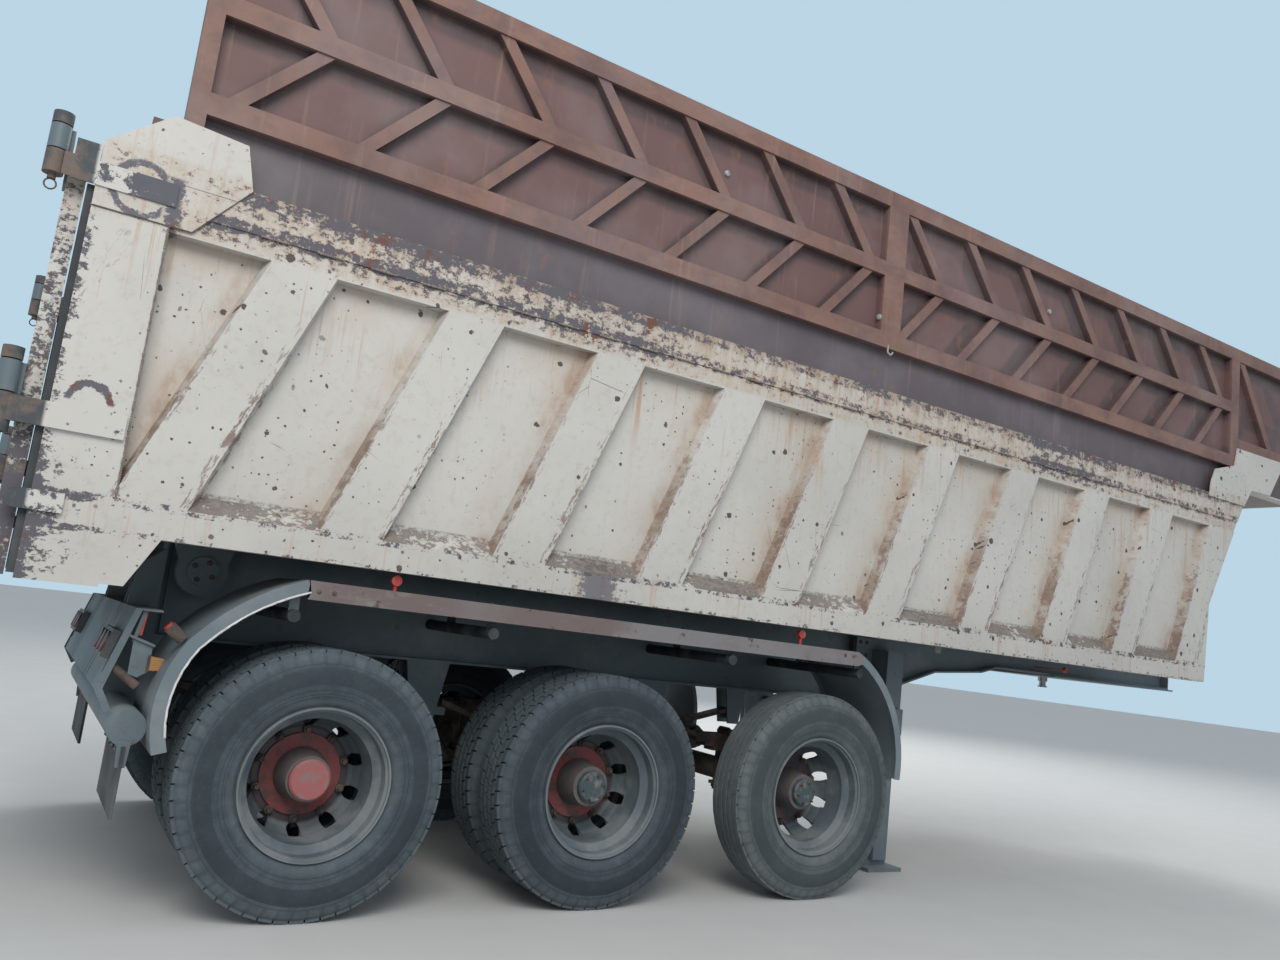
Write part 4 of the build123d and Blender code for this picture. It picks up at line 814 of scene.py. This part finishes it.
def bead_tree():
    """Weld bead: overlapping drops along the source's path, each a little different in size."""
    t = Tree("weld bead", Pitch="size", Radius="size")
    path = t.node("GeometryNodeMeshToCurve", Mesh=t.given["Source"]).outputs[0]
    even = t.node("GeometryNodeResampleCurve", {"mode": "LENGTH"}, Curve=path, Length=t.given["Pitch"])
    drop = t.node("GeometryNodeMeshIcoSphere", Radius=t.given["Radius"], Subdivisions=1).outputs[0]
    size = t.node("FunctionNodeRandomValue", {"data_type": "FLOAT"}, Seed=7)
    for socket, value in zip(size.inputs[2:4], (0.8, 1.25)):
        socket.default_value = value
    piece = {"Instance": drop, "Scale": size.outputs[1]}
    return t.finish(t.node("GeometryNodeInstanceOnPoints", Points=even.outputs[0], **piece).outputs[0])


RING, SPOTS, BAR, BEAD = ring_tree(), spots_tree(), bar_tree(), bead_tree()


def baked(name, source, tree, **inputs):
    """Run a tree on a source object and give back its result as a plain object."""
    modifier = source.modifiers.new("tree", "NODES")
    modifier.node_group = tree
    for item in tree.interface.items_tree:
        if item.in_out == "INPUT" and item.name in inputs:
            modifier[item.identifier] = inputs[item.name]
    graph = bpy.context.evaluated_depsgraph_get()
    graph.update()
    mesh = bpy.data.meshes.new_from_object(source.evaluated_get(graph))
    mesh.name = name
    discard(source)
    return placed(name, mesh)


def turned_ring(name, line, material, segments, smooth_angle=35):
    """Ring turned about the Y axis from a closed line of (radius, y) points."""
    points, faces = [], []
    count = len(line)
    for n in range(segments):
        angle = tau * n / segments
        points += [(r * sin(angle), y, r * cos(angle)) for r, y in line]
        a, b = n * count, ((n + 1) % segments) * count
        for k in range(count):
            m = (k + 1) % count
            faces.append((a + k, b + k, b + m, a + m))
    return faced(mesh_piece(name, points, faces, material, smooth_angle), merge=1e-6)


def stacked(count, layers):
    """Faces of a closed top and of the sides between rings of points stood on each other."""
    top = count * layers
    faces = [tuple(range(top, top + count))]
    for base in range(0, top, count):
        for k in range(count):
            m = (k + 1) % count
            faces.append((base + k, base + m, base + count + m, base + count + k))
    return faces


def moved(piece, x=0.0, y=0.0, z=0.0):
    """Move a piece's mesh, so that its object stays at the origin."""
    piece.data.transform(Matrix.Translation((x, y, z)))
    return piece


def lug(name, length, width, height, taper, lean, material):
    """Tread block standing up along Z, long in X and wide in Y, leaning in the XY plane."""
    half_x, half_y = length / 2, width / 2
    points = []
    for z, inset in ((-0.004, 0.0), (height - 0.0015, taper), (height, taper + 0.0015)):
        for sx, sy in ((-1, -1), (1, -1), (1, 1), (-1, 1)):
            x, y = sx * (half_x - inset), sy * (half_y - inset)
            points.append((x + lean * y, y, z))
    return mesh_piece(name, points, stacked(4, 2), material, 30)


# Tyre section: distance from the middle plane and radius, from the tread's edge to the bead
TREAD_BASE, TREAD_EDGE = 0.509, 0.094
SHOULDER = [(0.100, 0.5125), (0.109, 0.507), (0.116, 0.497), (0.121, 0.484)]
WALL = [(0.128, 0.462), (0.1285, 0.455), (0.1320, 0.450), (0.1370, 0.425), (0.1388, 0.400)]
WALL += [(0.1375, 0.372)]
FOOT = [(0.1335, 0.350), (0.1330, 0.344), (0.1285, 0.338), (0.1240, 0.322)]
FOOT += [(0.1150, 0.309), (0.1085, 0.302), (0.1070, 0.291)]
# Treads: blocks round the tyre, gap between two and their taper, and the rows from the middle out,
# each with its distance, width and lean. The worn one's blocks run together into ribs.
BLOCK_HEIGHT = 0.0150
ROW_STAGGER = 9.0
WORN_TREAD = (48, -0.004, 0.0, ((0.0, 0.030, 0.0), (0.040, 0.032, 0.0), (0.081, 0.034, 0.0)))
BLOCK_TREAD = (54, 0.006, 0.001, ((0.0, 0.034, 0.35), (0.043, 0.034, 0.35), (0.0855, 0.036, 0.18)))


def tyre(name, centre_y, tread, material):
    """One tyre: carcass with moulded sidewall lines, and blocks or ribs round its tread."""
    half = [(0.0, TREAD_BASE), (TREAD_EDGE, TREAD_BASE)] + SHOULDER + WALL + FOOT
    line = [(r, y) for y, r in half] + [(r, -y) for y, r in reversed(half)][:-1]
    parts = [turned_ring(f"{name}_carcass", line, material, 96, 28)]
    count, gap, taper, rows = tread
    length = tau * TYRE_R / count - gap
    for place, width, lean in rows:
        start = (place * ROW_STAGGER) % 1 * tau / count
        for way in (1, -1) if place else (1,):
            block = lug("block", length, width, BLOCK_HEIGHT, taper, lean * way, material)
            spread = {"Count": count, "Radius": TREAD_BASE, "Across": place * way, "Start": start}
            parts.append(baked("row", block, RING, Finish=material, **spread))
    return moved(join_as(name, parts), y=centre_y)


for index, place in enumerate(AXLES):
    worn = place == "front"
    for hand, side in SIDES:
        outer_y = side * (RIM_FACE_Y - RIM_WIDTH / 2)
        centres = [outer_y] if worn else [outer_y, outer_y - side * TWIN_PITCH]
        look = (WORN_TREAD if worn else BLOCK_TREAD, tyre_finishes[place])
        parts = [tyre(f"{place}_{hand}_{n}", y, *look) for n, y in enumerate(centres)]
        pair = moved(join_as(f"tyre_{place}_{hand}", parts), st(index * AXLE_PITCH), 0.0, AXLE_Z)
        keep(pair, f"wheel_{place}_{hand}", "tyre_rubber", f"tyres_{place}_{hand}")


def nut(name, across, height, material, stud=True):
    """Hexagon nut or bolt head standing along Y, with its stud's end where it has one."""
    points = []
    for y, r in ((0.0, across), (height - 0.002, across), (height, across - 0.003)):
        points += [(r * sin(tau * k / 6), y, r * cos(tau * k / 6)) for k in range(6)]
    parts = [mesh_piece(f"{name}_hexagon", points, stacked(6, 2), material, 20)]
    if stud:
        r, end = across * 0.57, height + 0.014
        line = [(0.0005, end), (r - 0.0015, end), (r, end - 0.003), (r, 0.0), (0.0005, 0.0)]
        parts.append(turned_ring(f"{name}_stud", line, material, 12))
    return faced(join_as(name, parts))


def flip_y(piece):
    """Mirror a piece's mesh across the middle plane, faces kept outward."""
    piece.data.transform(Matrix.Scale(-1, 4, (0, 1, 0)))
    piece.data.flip_normals()
    return piece


# Wheel nuts and the screws of the hub caps: rings of pieces
WHEEL_NUTS = {"Count": 10, "Radius": 0.1795, "Across": MATE_FACE_Y, "Start": 0.0}
CAP_SCREWS = {"Count": 6, "Radius": 0.056, "Across": 1.1205, "Start": 0.3}
METAL = finishes["spring_steel"]
for index, place in enumerate(AXLES):
    for hand, side in SIDES:
        fixings = [baked("nuts", nut("wheel_nut", 0.0185, 0.022, METAL), RING, Finish=METAL, **WHEEL_NUTS)]
        if place != "rear":
            screw = nut("cap_screw", 0.0085, 0.006, METAL)
            fixings.append(baked("screws", screw, RING, Finish=METAL, **CAP_SCREWS))
        made = join_as(f"wheel_nuts_{place}_{hand}", fixings)
        if side < 0:
            flip_y(made)
        moved(made, st(index * AXLE_PITCH), 0.0, AXLE_Z)
        keep(made, f"wheel_{place}_{hand}", "spring_steel")


# Small pieces in plate, bar and bead
def path_source(runs):
    """Object whose edges follow each run of points, for a tree to work along."""
    points, edges = [], []
    for run in runs:
        edges += [(len(points) + k, len(points) + k + 1) for k in range(len(run) - 1)]
        points += run
    mesh = bpy.data.meshes.new("path")
    mesh.from_pydata(points, edges, [])
    return placed("path", mesh)


def bar_piece(name, points, radius, bend, material):
    """Round bar along points."""
    return baked(name, path_source([points]), BAR, Radius=radius, Bend=bend, Finish=material)


def bead_piece(name, runs, pitch, radius, material):
    """Weld bead along each run of points."""
    return baked(name, path_source(runs), BEAD, Pitch=pitch, Radius=radius, Finish=material)


def plate_piece(name, outline, y0, y1, material, chamfer=0.0015):
    """Plate cut to an outline of (station, height) points between two Y planes, with broken edges."""
    count = len(outline)
    points = [(st(x), y, z) for y in sorted((y0, y1)) for x, z in outline]
    faces = [tuple(range(count)), tuple(range(2 * count - 1, count - 1, -1))]
    faces += [(k, (k + 1) % count, count + (k + 1) % count, count + k) for k in range(count)]
    return faced(mesh_piece(name, points, faces, material, 25), chamfer=chamfer)


def set_at(name, piece, spots, material):
    """Copies of a piece, made standing along Y, at (place, facing) spots."""
    mesh = bpy.data.meshes.new("spots")
    mesh.from_pydata([place for place, _ in spots], [], [])
    facing = mesh.attributes.new("facing", "FLOAT_VECTOR", "POINT")
    for value, (_, way) in zip(facing.data, spots):
        value.vector = way
    made = baked(name, placed("spots", mesh), SPOTS, Piece=piece, Finish=material)
    discard(piece)
    return made


def bolted(name, body, across, height, spots):
    """Nuts or bolt heads at spots, as one piece that rides on a body."""
    head = nut("head", across, height, METAL, stud=False)
    keep(set_at(name, head, spots, METAL), body, "spring_steel")


def arc(a, b, c, count):
    """Points along the arc from a through b to c, in the side view."""
    (ax, az), (bx, bz), (cx, cz) = a, b, c
    twice = 2 * (ax * (bz - cz) + bx * (cz - az) + cx * (az - bz))
    sa, sb, sc = ax * ax + az * az, bx * bx + bz * bz, cx * cx + cz * cz
    x = (sa * (bz - cz) + sb * (cz - az) + sc * (az - bz)) / twice
    z = (sa * (cx - bx) + sb * (ax - cx) + sc * (bx - ax)) / twice
    start, end = atan2(az - z, ax - x), atan2(cz - z, cx - x)
    if end > start:
        end -= tau
    radius = hypot(ax - x, az - z)
    angles = [start + (end - start) * k / count for k in range(count + 1)]
    return [(x + radius * cos(t), z + radius * sin(t)) for t in angles]


# Fender: one long guard a side, its rear arc fuller than its front one
GUARD_TOP = 1.310
GUARD_IN, GUARD_SHEET, GUARD_INNER_LIP = 0.700, 0.004, 0.030
REAR_ARC = [(-0.616, 0.620), (-0.636, 0.840), (-0.560, 1.038)]
REAR_SHOULDER = [(-0.560, 1.038), (-0.398, 1.190), (-0.165, GUARD_TOP)]
FLAT_FRONT = (2.800, GUARD_TOP - 0.015)
FRONT_ARC = [FLAT_FRONT, (3.075, 1.060), (3.180, 0.628)]
REAR_LIP, FLAT_LIP, FRONT_LIP = 0.052, 0.075, 0.042


def guard_line():
    """Fender outline from the rear foot to the front one: station, height, depth of the lip."""
    line = [(x, z, REAR_LIP) for x, z in arc(*REAR_ARC, 8)]
    line += [(x, z, REAR_LIP) for x, z in arc(*REAR_SHOULDER, 10)[1:]]
    line += [(-0.160, GUARD_TOP, FLAT_LIP), (*FLAT_FRONT, FLAT_LIP)]
    line += [(x, z, FRONT_LIP) for x, z in arc(*FRONT_ARC, 14)[1:]]
    return line


def guard_normals(line):
    """Unit way in towards the tyres at each point of the outline."""
    ways = []
    for k in range(len(line)):
        (x0, z0, _), (x1, z1, _) = line[max(k - 1, 0)], line[min(k + 1, len(line) - 1)]
        length = hypot(x1 - x0, z1 - z0)
        ways.append(((z1 - z0) / length, -(x1 - x0) / length))
    return ways


def fender(name, side, material):
    """Guard swept along its outline: top sheet, deep outer lip and small inner lip."""
    line = guard_line()
    points, faces = [], []
    for (x, z, lip), (dx, dz) in zip(line, guard_normals(line)):
        section = [
            (GUARD_IN, 0.0),
            (HALF_WIDTH, 0.0),
            (HALF_WIDTH, lip),
            (HALF_WIDTH - GUARD_SHEET, lip),
            (HALF_WIDTH - GUARD_SHEET, GUARD_SHEET),
            (GUARD_IN + GUARD_SHEET, GUARD_SHEET),
            (GUARD_IN + GUARD_SHEET, GUARD_INNER_LIP),
            (GUARD_IN, GUARD_INNER_LIP),
        ]
        points += [(st(x) + depth * dx, side * y, z + depth * dz) for y, depth in section]
    for k in range(len(line) - 1):
        a, b = 8 * k, 8 * (k + 1)
        faces += [(a + m, a + (m + 1) % 8, b + (m + 1) % 8, b + m) for m in range(8)]
    faces += [tuple(range(8)), tuple(range(len(points) - 1, len(points) - 9, -1))]
    return faced(mesh_piece(name, points, faces, material, 30))


# The trim follows the lip's edge from one of the outline's points to another
TRIM_FROM, TRIM_TO, TRIM_R, TRIM_IN = 1, 19, 0.0050, 0.002
# Brackets: station, foot and head; bolts along the lip's ends and over the stays
GUARD_BRACKETS = ((-0.195, 1.170, 1.288), (2.840, 1.190, 1.262))
BRACKET_Y, BRACKET_HALF, BRACKET_SHEET = (0.722, 1.192), 0.018, 0.008
LIP_BOLT_X, STAY_X, STAY_BOLT_Y = (-0.120, -0.060, 2.700, 2.760), (0.655, 1.965), (0.76, 1.16)


def upright_plate(x, half, low, high):
    """Outline of a plain upright plate about a station."""
    return [(x - half, low), (x + half, low), (x + half, high), (x - half, high)]


def dress_fenders():
    """Both fenders as one piece, with the white trim, the brackets and the bolts."""
    paint = finishes["fender_paint"]
    pair = join_as("fender_guards", [fender(f"guard_{hand}", side, paint) for hand, side in SIDES])
    keep(pair, "chassis", "fender_paint", "fenders")
    edge = list(zip(guard_line(), guard_normals(guard_line())))[TRIM_FROM:TRIM_TO]
    strips, brackets, spots = [], [], []
    for _, side in SIDES:
        run = []
        for (x, z, lip), (dx, dz) in edge:
            depth = lip - TRIM_IN
            run.append((st(x) + depth * dx, side * (HALF_WIDTH - 0.003), z + depth * dz))
        strips.append(bar_piece("trim", run, TRIM_R, 0.001, finishes["white_trim"]))
        for x, low, high in GUARD_BRACKETS:
            outline = upright_plate(x, BRACKET_HALF, low, high)
            for y in BRACKET_Y:
                ends = (side * y, side * (y + BRACKET_SHEET))
                brackets.append(plate_piece("bracket", outline, *ends, finishes["chassis_paint"]))
        lip_y = side * (HALF_WIDTH - 0.0005)
        spots += [((st(x), lip_y, GUARD_TOP - 0.040), (0, side, 0)) for x in LIP_BOLT_X]
        spots += [((st(x), side * y, GUARD_TOP - 0.001), (0, 0, 1)) for x in STAY_X for y in STAY_BOLT_Y]
    keep(join_as("fender_trim", strips), "chassis", "chassis_paint")
    keep(join_as("fender_brackets", brackets), "chassis", "chassis_paint")
    bolted("fender_bolts", "chassis", 0.009, 0.006, spots)


dress_fenders()


# Fittings at the right and left ends of the lamp board, hung from its shelf:
# outlines of (station, height) points with their |Y| limits and finish
REFLECTOR = [(-0.690, 1.124), (-0.699, 1.124), (-0.707, 1.030), (-0.698, 1.030)]
HANGER = [(-0.705, 1.124), (-0.693, 1.124), (-0.716, 1.006), (-0.728, 1.006)]
BRACKET = [(-0.742, 1.024), (-0.650, 0.992), (-0.648, 0.999), (-0.740, 1.031)]
UPRIGHT = [(-0.722, 1.014), (-0.655, 0.990), (-0.655, 0.900), (-0.690, 0.876), (-0.722, 0.886)]
LAMP_BACK = [(-0.664, 0.960), (-0.655, 0.960), (-0.655, 0.898), (-0.664, 0.898)]
AMBER_LAMP = [(-0.655, 0.955), (-0.606, 0.948), (-0.606, 0.906), (-0.655, 0.904)]
FOOT_PLATE = [(-0.792, 0.940), (-0.782, 0.940), (-0.796, 0.884), (-0.806, 0.884)]
FLAP_CLAMP = [(-0.714, 0.636), (-0.686, 0.636), (-0.686, 0.600), (-0.714, 0.600)]
CLAMP_END = [(-0.722, 0.650), (-0.678, 0.650), (-0.684, 0.560), (-0.716, 0.560)]
BOARD_PLATES = (
    (REFLECTOR, 1.040, 1.064, "red_lens"),
    (BRACKET, 1.040, 1.084, "chassis_paint"),
    (HANGER, 1.064, 1.068, "chassis_paint"),
    (UPRIGHT, 1.068, 1.073, "chassis_paint"),
    (LAMP_BACK, 1.034, 1.076, "spring_steel"),
    (AMBER_LAMP, 1.037, 1.073, "amber_lens"),
    (FOOT_PLATE, 1.040, 1.082, "spring_steel"),
)
# Short tubes: |Y|, ends as (station, height), radius and finish
BOARD_TUBES = (
    (1.061, (-0.790, 0.917), (-0.684, 0.842), 0.017, "spring_steel"),
    (1.205, (-0.575, 1.036), (-0.628, 1.078), 0.024, "spring_steel"),
    (1.205, (-0.628, 1.078), (-0.634, 1.083), 0.019, "red_lens"),
)
CLAMP_PLATES = ((FLAP_CLAMP, 0.640, 1.150, "chassis_paint"), (CLAMP_END, 1.150, 1.158, "chassis_paint"))


def plates(rows, side):
    """One plate a row of outline, |Y| limits and finish."""
    made = []
    for outline, y0, y1, coat in rows:
        made.append(plate_piece("plate", outline, side * y0, side * y1, finishes[coat], 0.001))
    return made


def board_fittings(side):
    """Reflector, bent bracket, amber lamp, short tubes and the flap's clamp at one end."""
    tubes = []
    for y, *ends, radius, coat in BOARD_TUBES:
        line = [(st(x), side * y, z) for x, z in ends]
        tubes.append(bar_piece("tube", line, radius, 0.004, finishes[coat]))
    return plates(BOARD_PLATES, side) + tubes + plates(CLAMP_PLATES, side)


# Hook under the extension's low chord, ring on the upper hinge pin's foot, bracket under the sill
HOOK_X, HOOK_Y, HOOK_Z = 2.834, 1.2435, 3.018
HOOK_LINE = ((0.0, 0.020), (0.0, -0.022), (0.026, -0.034), (0.040, -0.014))
RING_PLACE, RING_R, RING_BAR_R = (-1.285, 1.235, 2.5805), 0.019, 0.003
SILL_BRACKET = [(3.640, 1.392), (3.704, 1.392), (3.692, 1.352), (3.652, 1.352)]


def body_hooks(side):
    """Rope hook, split ring and sill bracket on one side of the body."""
    line = [(st(HOOK_X + dx), side * HOOK_Y, HOOK_Z + dz) for dx, dz in HOOK_LINE]
    hook = bar_piece("hook", line, 0.0055, 0.010, finishes["pale_steel"])
    circle = [tau * k / 8 for k in range(8)]
    line = [(RING_R + RING_BAR_R * cos(turn), RING_BAR_R * sin(turn)) for turn in circle]
    x, y, z = RING_PLACE
    ring = moved(turned_ring("ring", line, METAL, 24), st(x), side * y, z)
    return [hook, ring] + plates([(SILL_BRACKET, 1.020, 1.026, "body_paint")], side)


# Weld runs: along the corner plate's edge, the post's seam and in stitches under the top rail
CORNER_EDGE = [(-1.148, 2.545), (-0.810, 2.545), (-0.624, 2.771)]
POST_SEAM = [(-0.888, 1.515), (-0.888, 2.540)]
STITCH_PITCH, STITCH, STITCH_Z = 0.22, 0.10, 2.6085
STITCH_FROM, STITCH_TO = -0.560, 6.45
BEAD_PITCH, BEAD_R = 0.009, 0.0055


def weld_runs(side):
    """Runs of points that the beads on one side follow."""
    runs = [CORNER_EDGE, POST_SEAM]
    x = STITCH_FROM
    while x < STITCH_TO:
        runs.append([(x, STITCH_Z), (x + STITCH, STITCH_Z)])
        x += STITCH_PITCH
    return [[(st(x), side * (HALF_WIDTH + 0.001), z) for x, z in run] for run in runs]


# Axle fixings: two U-bolts a spring with a plate and four nuts below the axle
U_BOLT_X, U_BOLT_Y, U_BOLT_R, U_BOLT_TOP, U_BOLT_END = 0.064, 0.054, 0.0095, 0.769, 0.030
SPRING_Y = 0.450
SEAT_PLATE_Z, SEAT_PLATE_HALF_X, SEAT_PLATE_HALF_Y = (0.443, 0.460), 0.088, 0.074


def u_bolts(side):
    """U-bolts and lower plates on one side, with the spots of their nuts."""
    parts, spots = [], []
    low, high = SEAT_PLATE_Z
    foot = low - U_BOLT_END
    legs = [side * (SPRING_Y + way * U_BOLT_Y) for way in (-1, 1)]
    for index in range(3):
        centre = index * AXLE_PITCH
        for way in (-1, 1):
            x = st(centre + way * U_BOLT_X)
            line = [(x, legs[0], foot), *((x, y, U_BOLT_TOP) for y in legs), (x, legs[1], foot)]
            parts.append(bar_piece("u_bolt", line, U_BOLT_R, 0.018, METAL))
            spots += [((x, y, low), (0, 0, -1)) for y in legs]
        outline = upright_plate(centre, SEAT_PLATE_HALF_X, low, high)
        ends = [side * (SPRING_Y + way * SEAT_PLATE_HALF_Y) for way in (-1, 1)]
        parts.append(plate_piece("seat_plate", outline, *ends, finishes["axle_paint"]))
    return parts, spots


# Round knobs on the extension's sheet and on its middle post: station, |Y|, height
SHEET_KNOBS = ((1.633, 1.1915, 3.674), (4.306, 1.1915, 3.654))
POST_KNOB = (2.7655, 1.228, 3.190)
KNOB_LINE = [(0.0005, 0.016), (0.010, 0.0155), (0.016, 0.011), (0.018, 0.004), (0.018, 0.0), (0.0005, 0.0)]
# Bolts of the landing legs, the mudflap clamps, the pivots' caps and the door straps
LEG_BOLT_X, LEG_BOLT_Y, LEG_BOLT_Z = (3.492, 3.545), 0.5495, (1.13, 1.21, 1.29, 1.37)
FLAP_BOLT_X, FLAP_BOLT_Y, FLAP_BOLT_Z = -0.714, (0.68, 0.79, 0.90, 1.01, 1.12), 0.618
PIVOT, PIVOT_RING_R = (-0.460, 0.6395, 1.300), 0.043
STRAP_BOLT_X, STRAP_BOLT_Y, STRAP_BOLT_Z = -1.2475, (0.12, 0.42, 0.72, 1.02), (1.845, 1.905)


def frame_bolt_spots(side):
    """Spots of the bolts on one side of the frame."""
    out, rear = (0, side, 0), (-1, 0, 0)
    spots = [((st(x), side * LEG_BOLT_Y, z), out) for x in LEG_BOLT_X for z in LEG_BOLT_Z]
    spots += [((st(FLAP_BOLT_X), side * y, FLAP_BOLT_Z), rear) for y in FLAP_BOLT_Y]
    x, y, z = PIVOT
    for k in range(4):
        turn = tau * k / 4 + 0.5
        spots.append(((st(x) + PIVOT_RING_R * sin(turn), side * y, z + PIVOT_RING_R * cos(turn)), out))
    return spots


def knob_spots(side):
    """Spots of the knobs on one side."""
    places = [(knob, (0, side, 0)) for knob in SHEET_KNOBS] + [(POST_KNOB, (-1, 0, 0))]
    return [((st(x), side * y, z), way) for (x, y, z), way in places]


def each_side(make):
    """What a function gives for the left side and for the right one, in one list."""
    return [thing for _, side in SIDES for thing in make(side)]


def dress_small_pieces():
    """Everything bolted or welded on, grouped into one piece a body and kind."""
    seats = [u_bolts(side) for _, side in SIDES]
    pale = finishes["pale_steel"]
    keep(join_as("board_fittings", each_side(board_fittings)), "chassis", "chassis_paint")
    keep(join_as("body_hooks", each_side(body_hooks)), "tipper_body", "body_paint")
    beads = bead_piece("weld_beads", each_side(weld_runs), BEAD_PITCH, BEAD_R, finishes["weld"])
    keep(beads, "tipper_body", "body_paint")
    keep(join_as("u_bolts", [part for parts, _ in seats for part in parts]), "chassis", "spring_steel")
    bolted("u_bolt_nuts", "chassis", 0.017, 0.018, [spot for _, spots in seats for spot in spots])
    bolted("frame_bolts", "chassis", 0.012, 0.008, each_side(frame_bolt_spots))
    knob = turned_ring("knob", KNOB_LINE, pale, 16)
    keep(set_at("extension_knobs", knob, each_side(knob_spots), pale), "tipper_body", "extension_paint")
    for hand, side in SIDES:
        x, rear = st(STRAP_BOLT_X), (-1, 0, 0)
        spots = [((x, side * y, z), rear) for y in STRAP_BOLT_Y for z in STRAP_BOLT_Z]
        bolted(f"strap_bolts_{hand}", f"door_leaf_{hand}", 0.012, 0.008, spots)


dress_small_pieces()


# Floor, light and camera
FLOOR_REACH = 60.0
DAYLIGHT, DAYLIGHT_STRENGTH = (0.86, 0.93, 1.0), 0.72
BACKDROP = (0.50, 0.67, 0.79)
# Lamps: name, place, target, size, power, colour
LAMPS = (
    ("key", (-6.0, -9.0, 9.0), (0.5, 0.0, 1.5), 6.0, 900.0, (1.0, 0.97, 0.92)),
    ("back", (7.0, 8.0, 9.0), (0.0, 0.0, 1.5), 6.0, 900.0, (1.0, 0.98, 0.95)),
)


def studio():
    """Pale floor and soft light."""
    mesh = bpy.data.meshes.new("floor")
    corners = [(x * FLOOR_REACH, y * FLOOR_REACH, 0) for x, y in ((-1, -1), (1, -1), (1, 1), (-1, 1))]
    mesh.from_pydata(corners, [], [(0, 1, 2, 3)])
    ground = placed("studio_floor", mesh)
    f = Finish("pale floor", roughness=0.9)
    mesh.materials.append(f.finish(f.blend(f.grain(3.0, 6.0), (0.50, 0.50, 0.49), (0.56, 0.56, 0.55))))

    # Daylight on the part, and a plain backdrop where the camera or a reflection sees the sky
    world = bpy.data.worlds.new("studio")
    bpy.context.scene.world = world
    world.use_nodes = True
    w = Nodes(world.node_tree)
    soft = w.tree.nodes["Background"]
    w.feed(soft.inputs["Color"], DAYLIGHT)
    w.feed(soft.inputs["Strength"], DAYLIGHT_STRENGTH)
    seen = w.node("ShaderNodeBackground", Color=BACKDROP, Strength=1.0)
    rays = w.node("ShaderNodeLightPath").outputs
    kinds = [rays[f"Is {kind} Ray"] for kind in ("Camera", "Glossy", "Transmission")]
    shown = reduce(lambda a, b: w.maths("MAXIMUM", a, b), kinds)
    either = w.node("ShaderNodeMixShader")
    for socket, value in zip(either.inputs, (shown, soft.outputs[0], seen.outputs[0])):
        w.feed(socket, value)
    w.feed(w.tree.nodes["World Output"].inputs["Surface"], either.outputs[0])

    for name, spot, target, size, power, colour in LAMPS:
        data = bpy.data.lights.new(name, "AREA")
        data.size = size
        data.energy = power
        data.color = colour
        lamp = placed(name, data)
        lamp.location = spot
        lamp.rotation_euler = (Vector(target) - Vector(spot)).to_track_quat("-Z", "Y").to_euler()
    bpy.context.scene.view_settings.view_transform = "Standard"


# Photograph's place and lens, from the fit of its perspective
CAMERA_PLACE = (-4.246, -5.306, 1.244)
CAMERA_TURN = (31.32, 8.73, 6.71)
FOCAL_PX, WIDTH_PX, SENSOR = 1009.2, 1280, 36.0


def photo_camera():
    """Camera at the photograph's place, with its yaw, pitch and roll."""
    yaw, pitch, roll = (radians(angle) for angle in CAMERA_TURN)
    ahead = Vector((sin(yaw) * cos(pitch), cos(yaw) * cos(pitch), sin(pitch)))
    level = Vector((cos(yaw), -sin(yaw), 0.0))
    upright = level.cross(ahead)
    right = cos(roll) * level + sin(roll) * upright
    up = -sin(roll) * level + cos(roll) * upright
    data = bpy.data.cameras.new("photo camera")
    data.sensor_width = SENSOR
    data.lens = FOCAL_PX / WIDTH_PX * SENSOR
    camera = placed("photo camera", data)
    turn = Matrix((right, up, -ahead)).transposed().to_4x4()
    camera.matrix_world = Matrix.Translation(CAMERA_PLACE) @ turn
    bpy.context.scene.camera = camera


studio()
photo_camera()
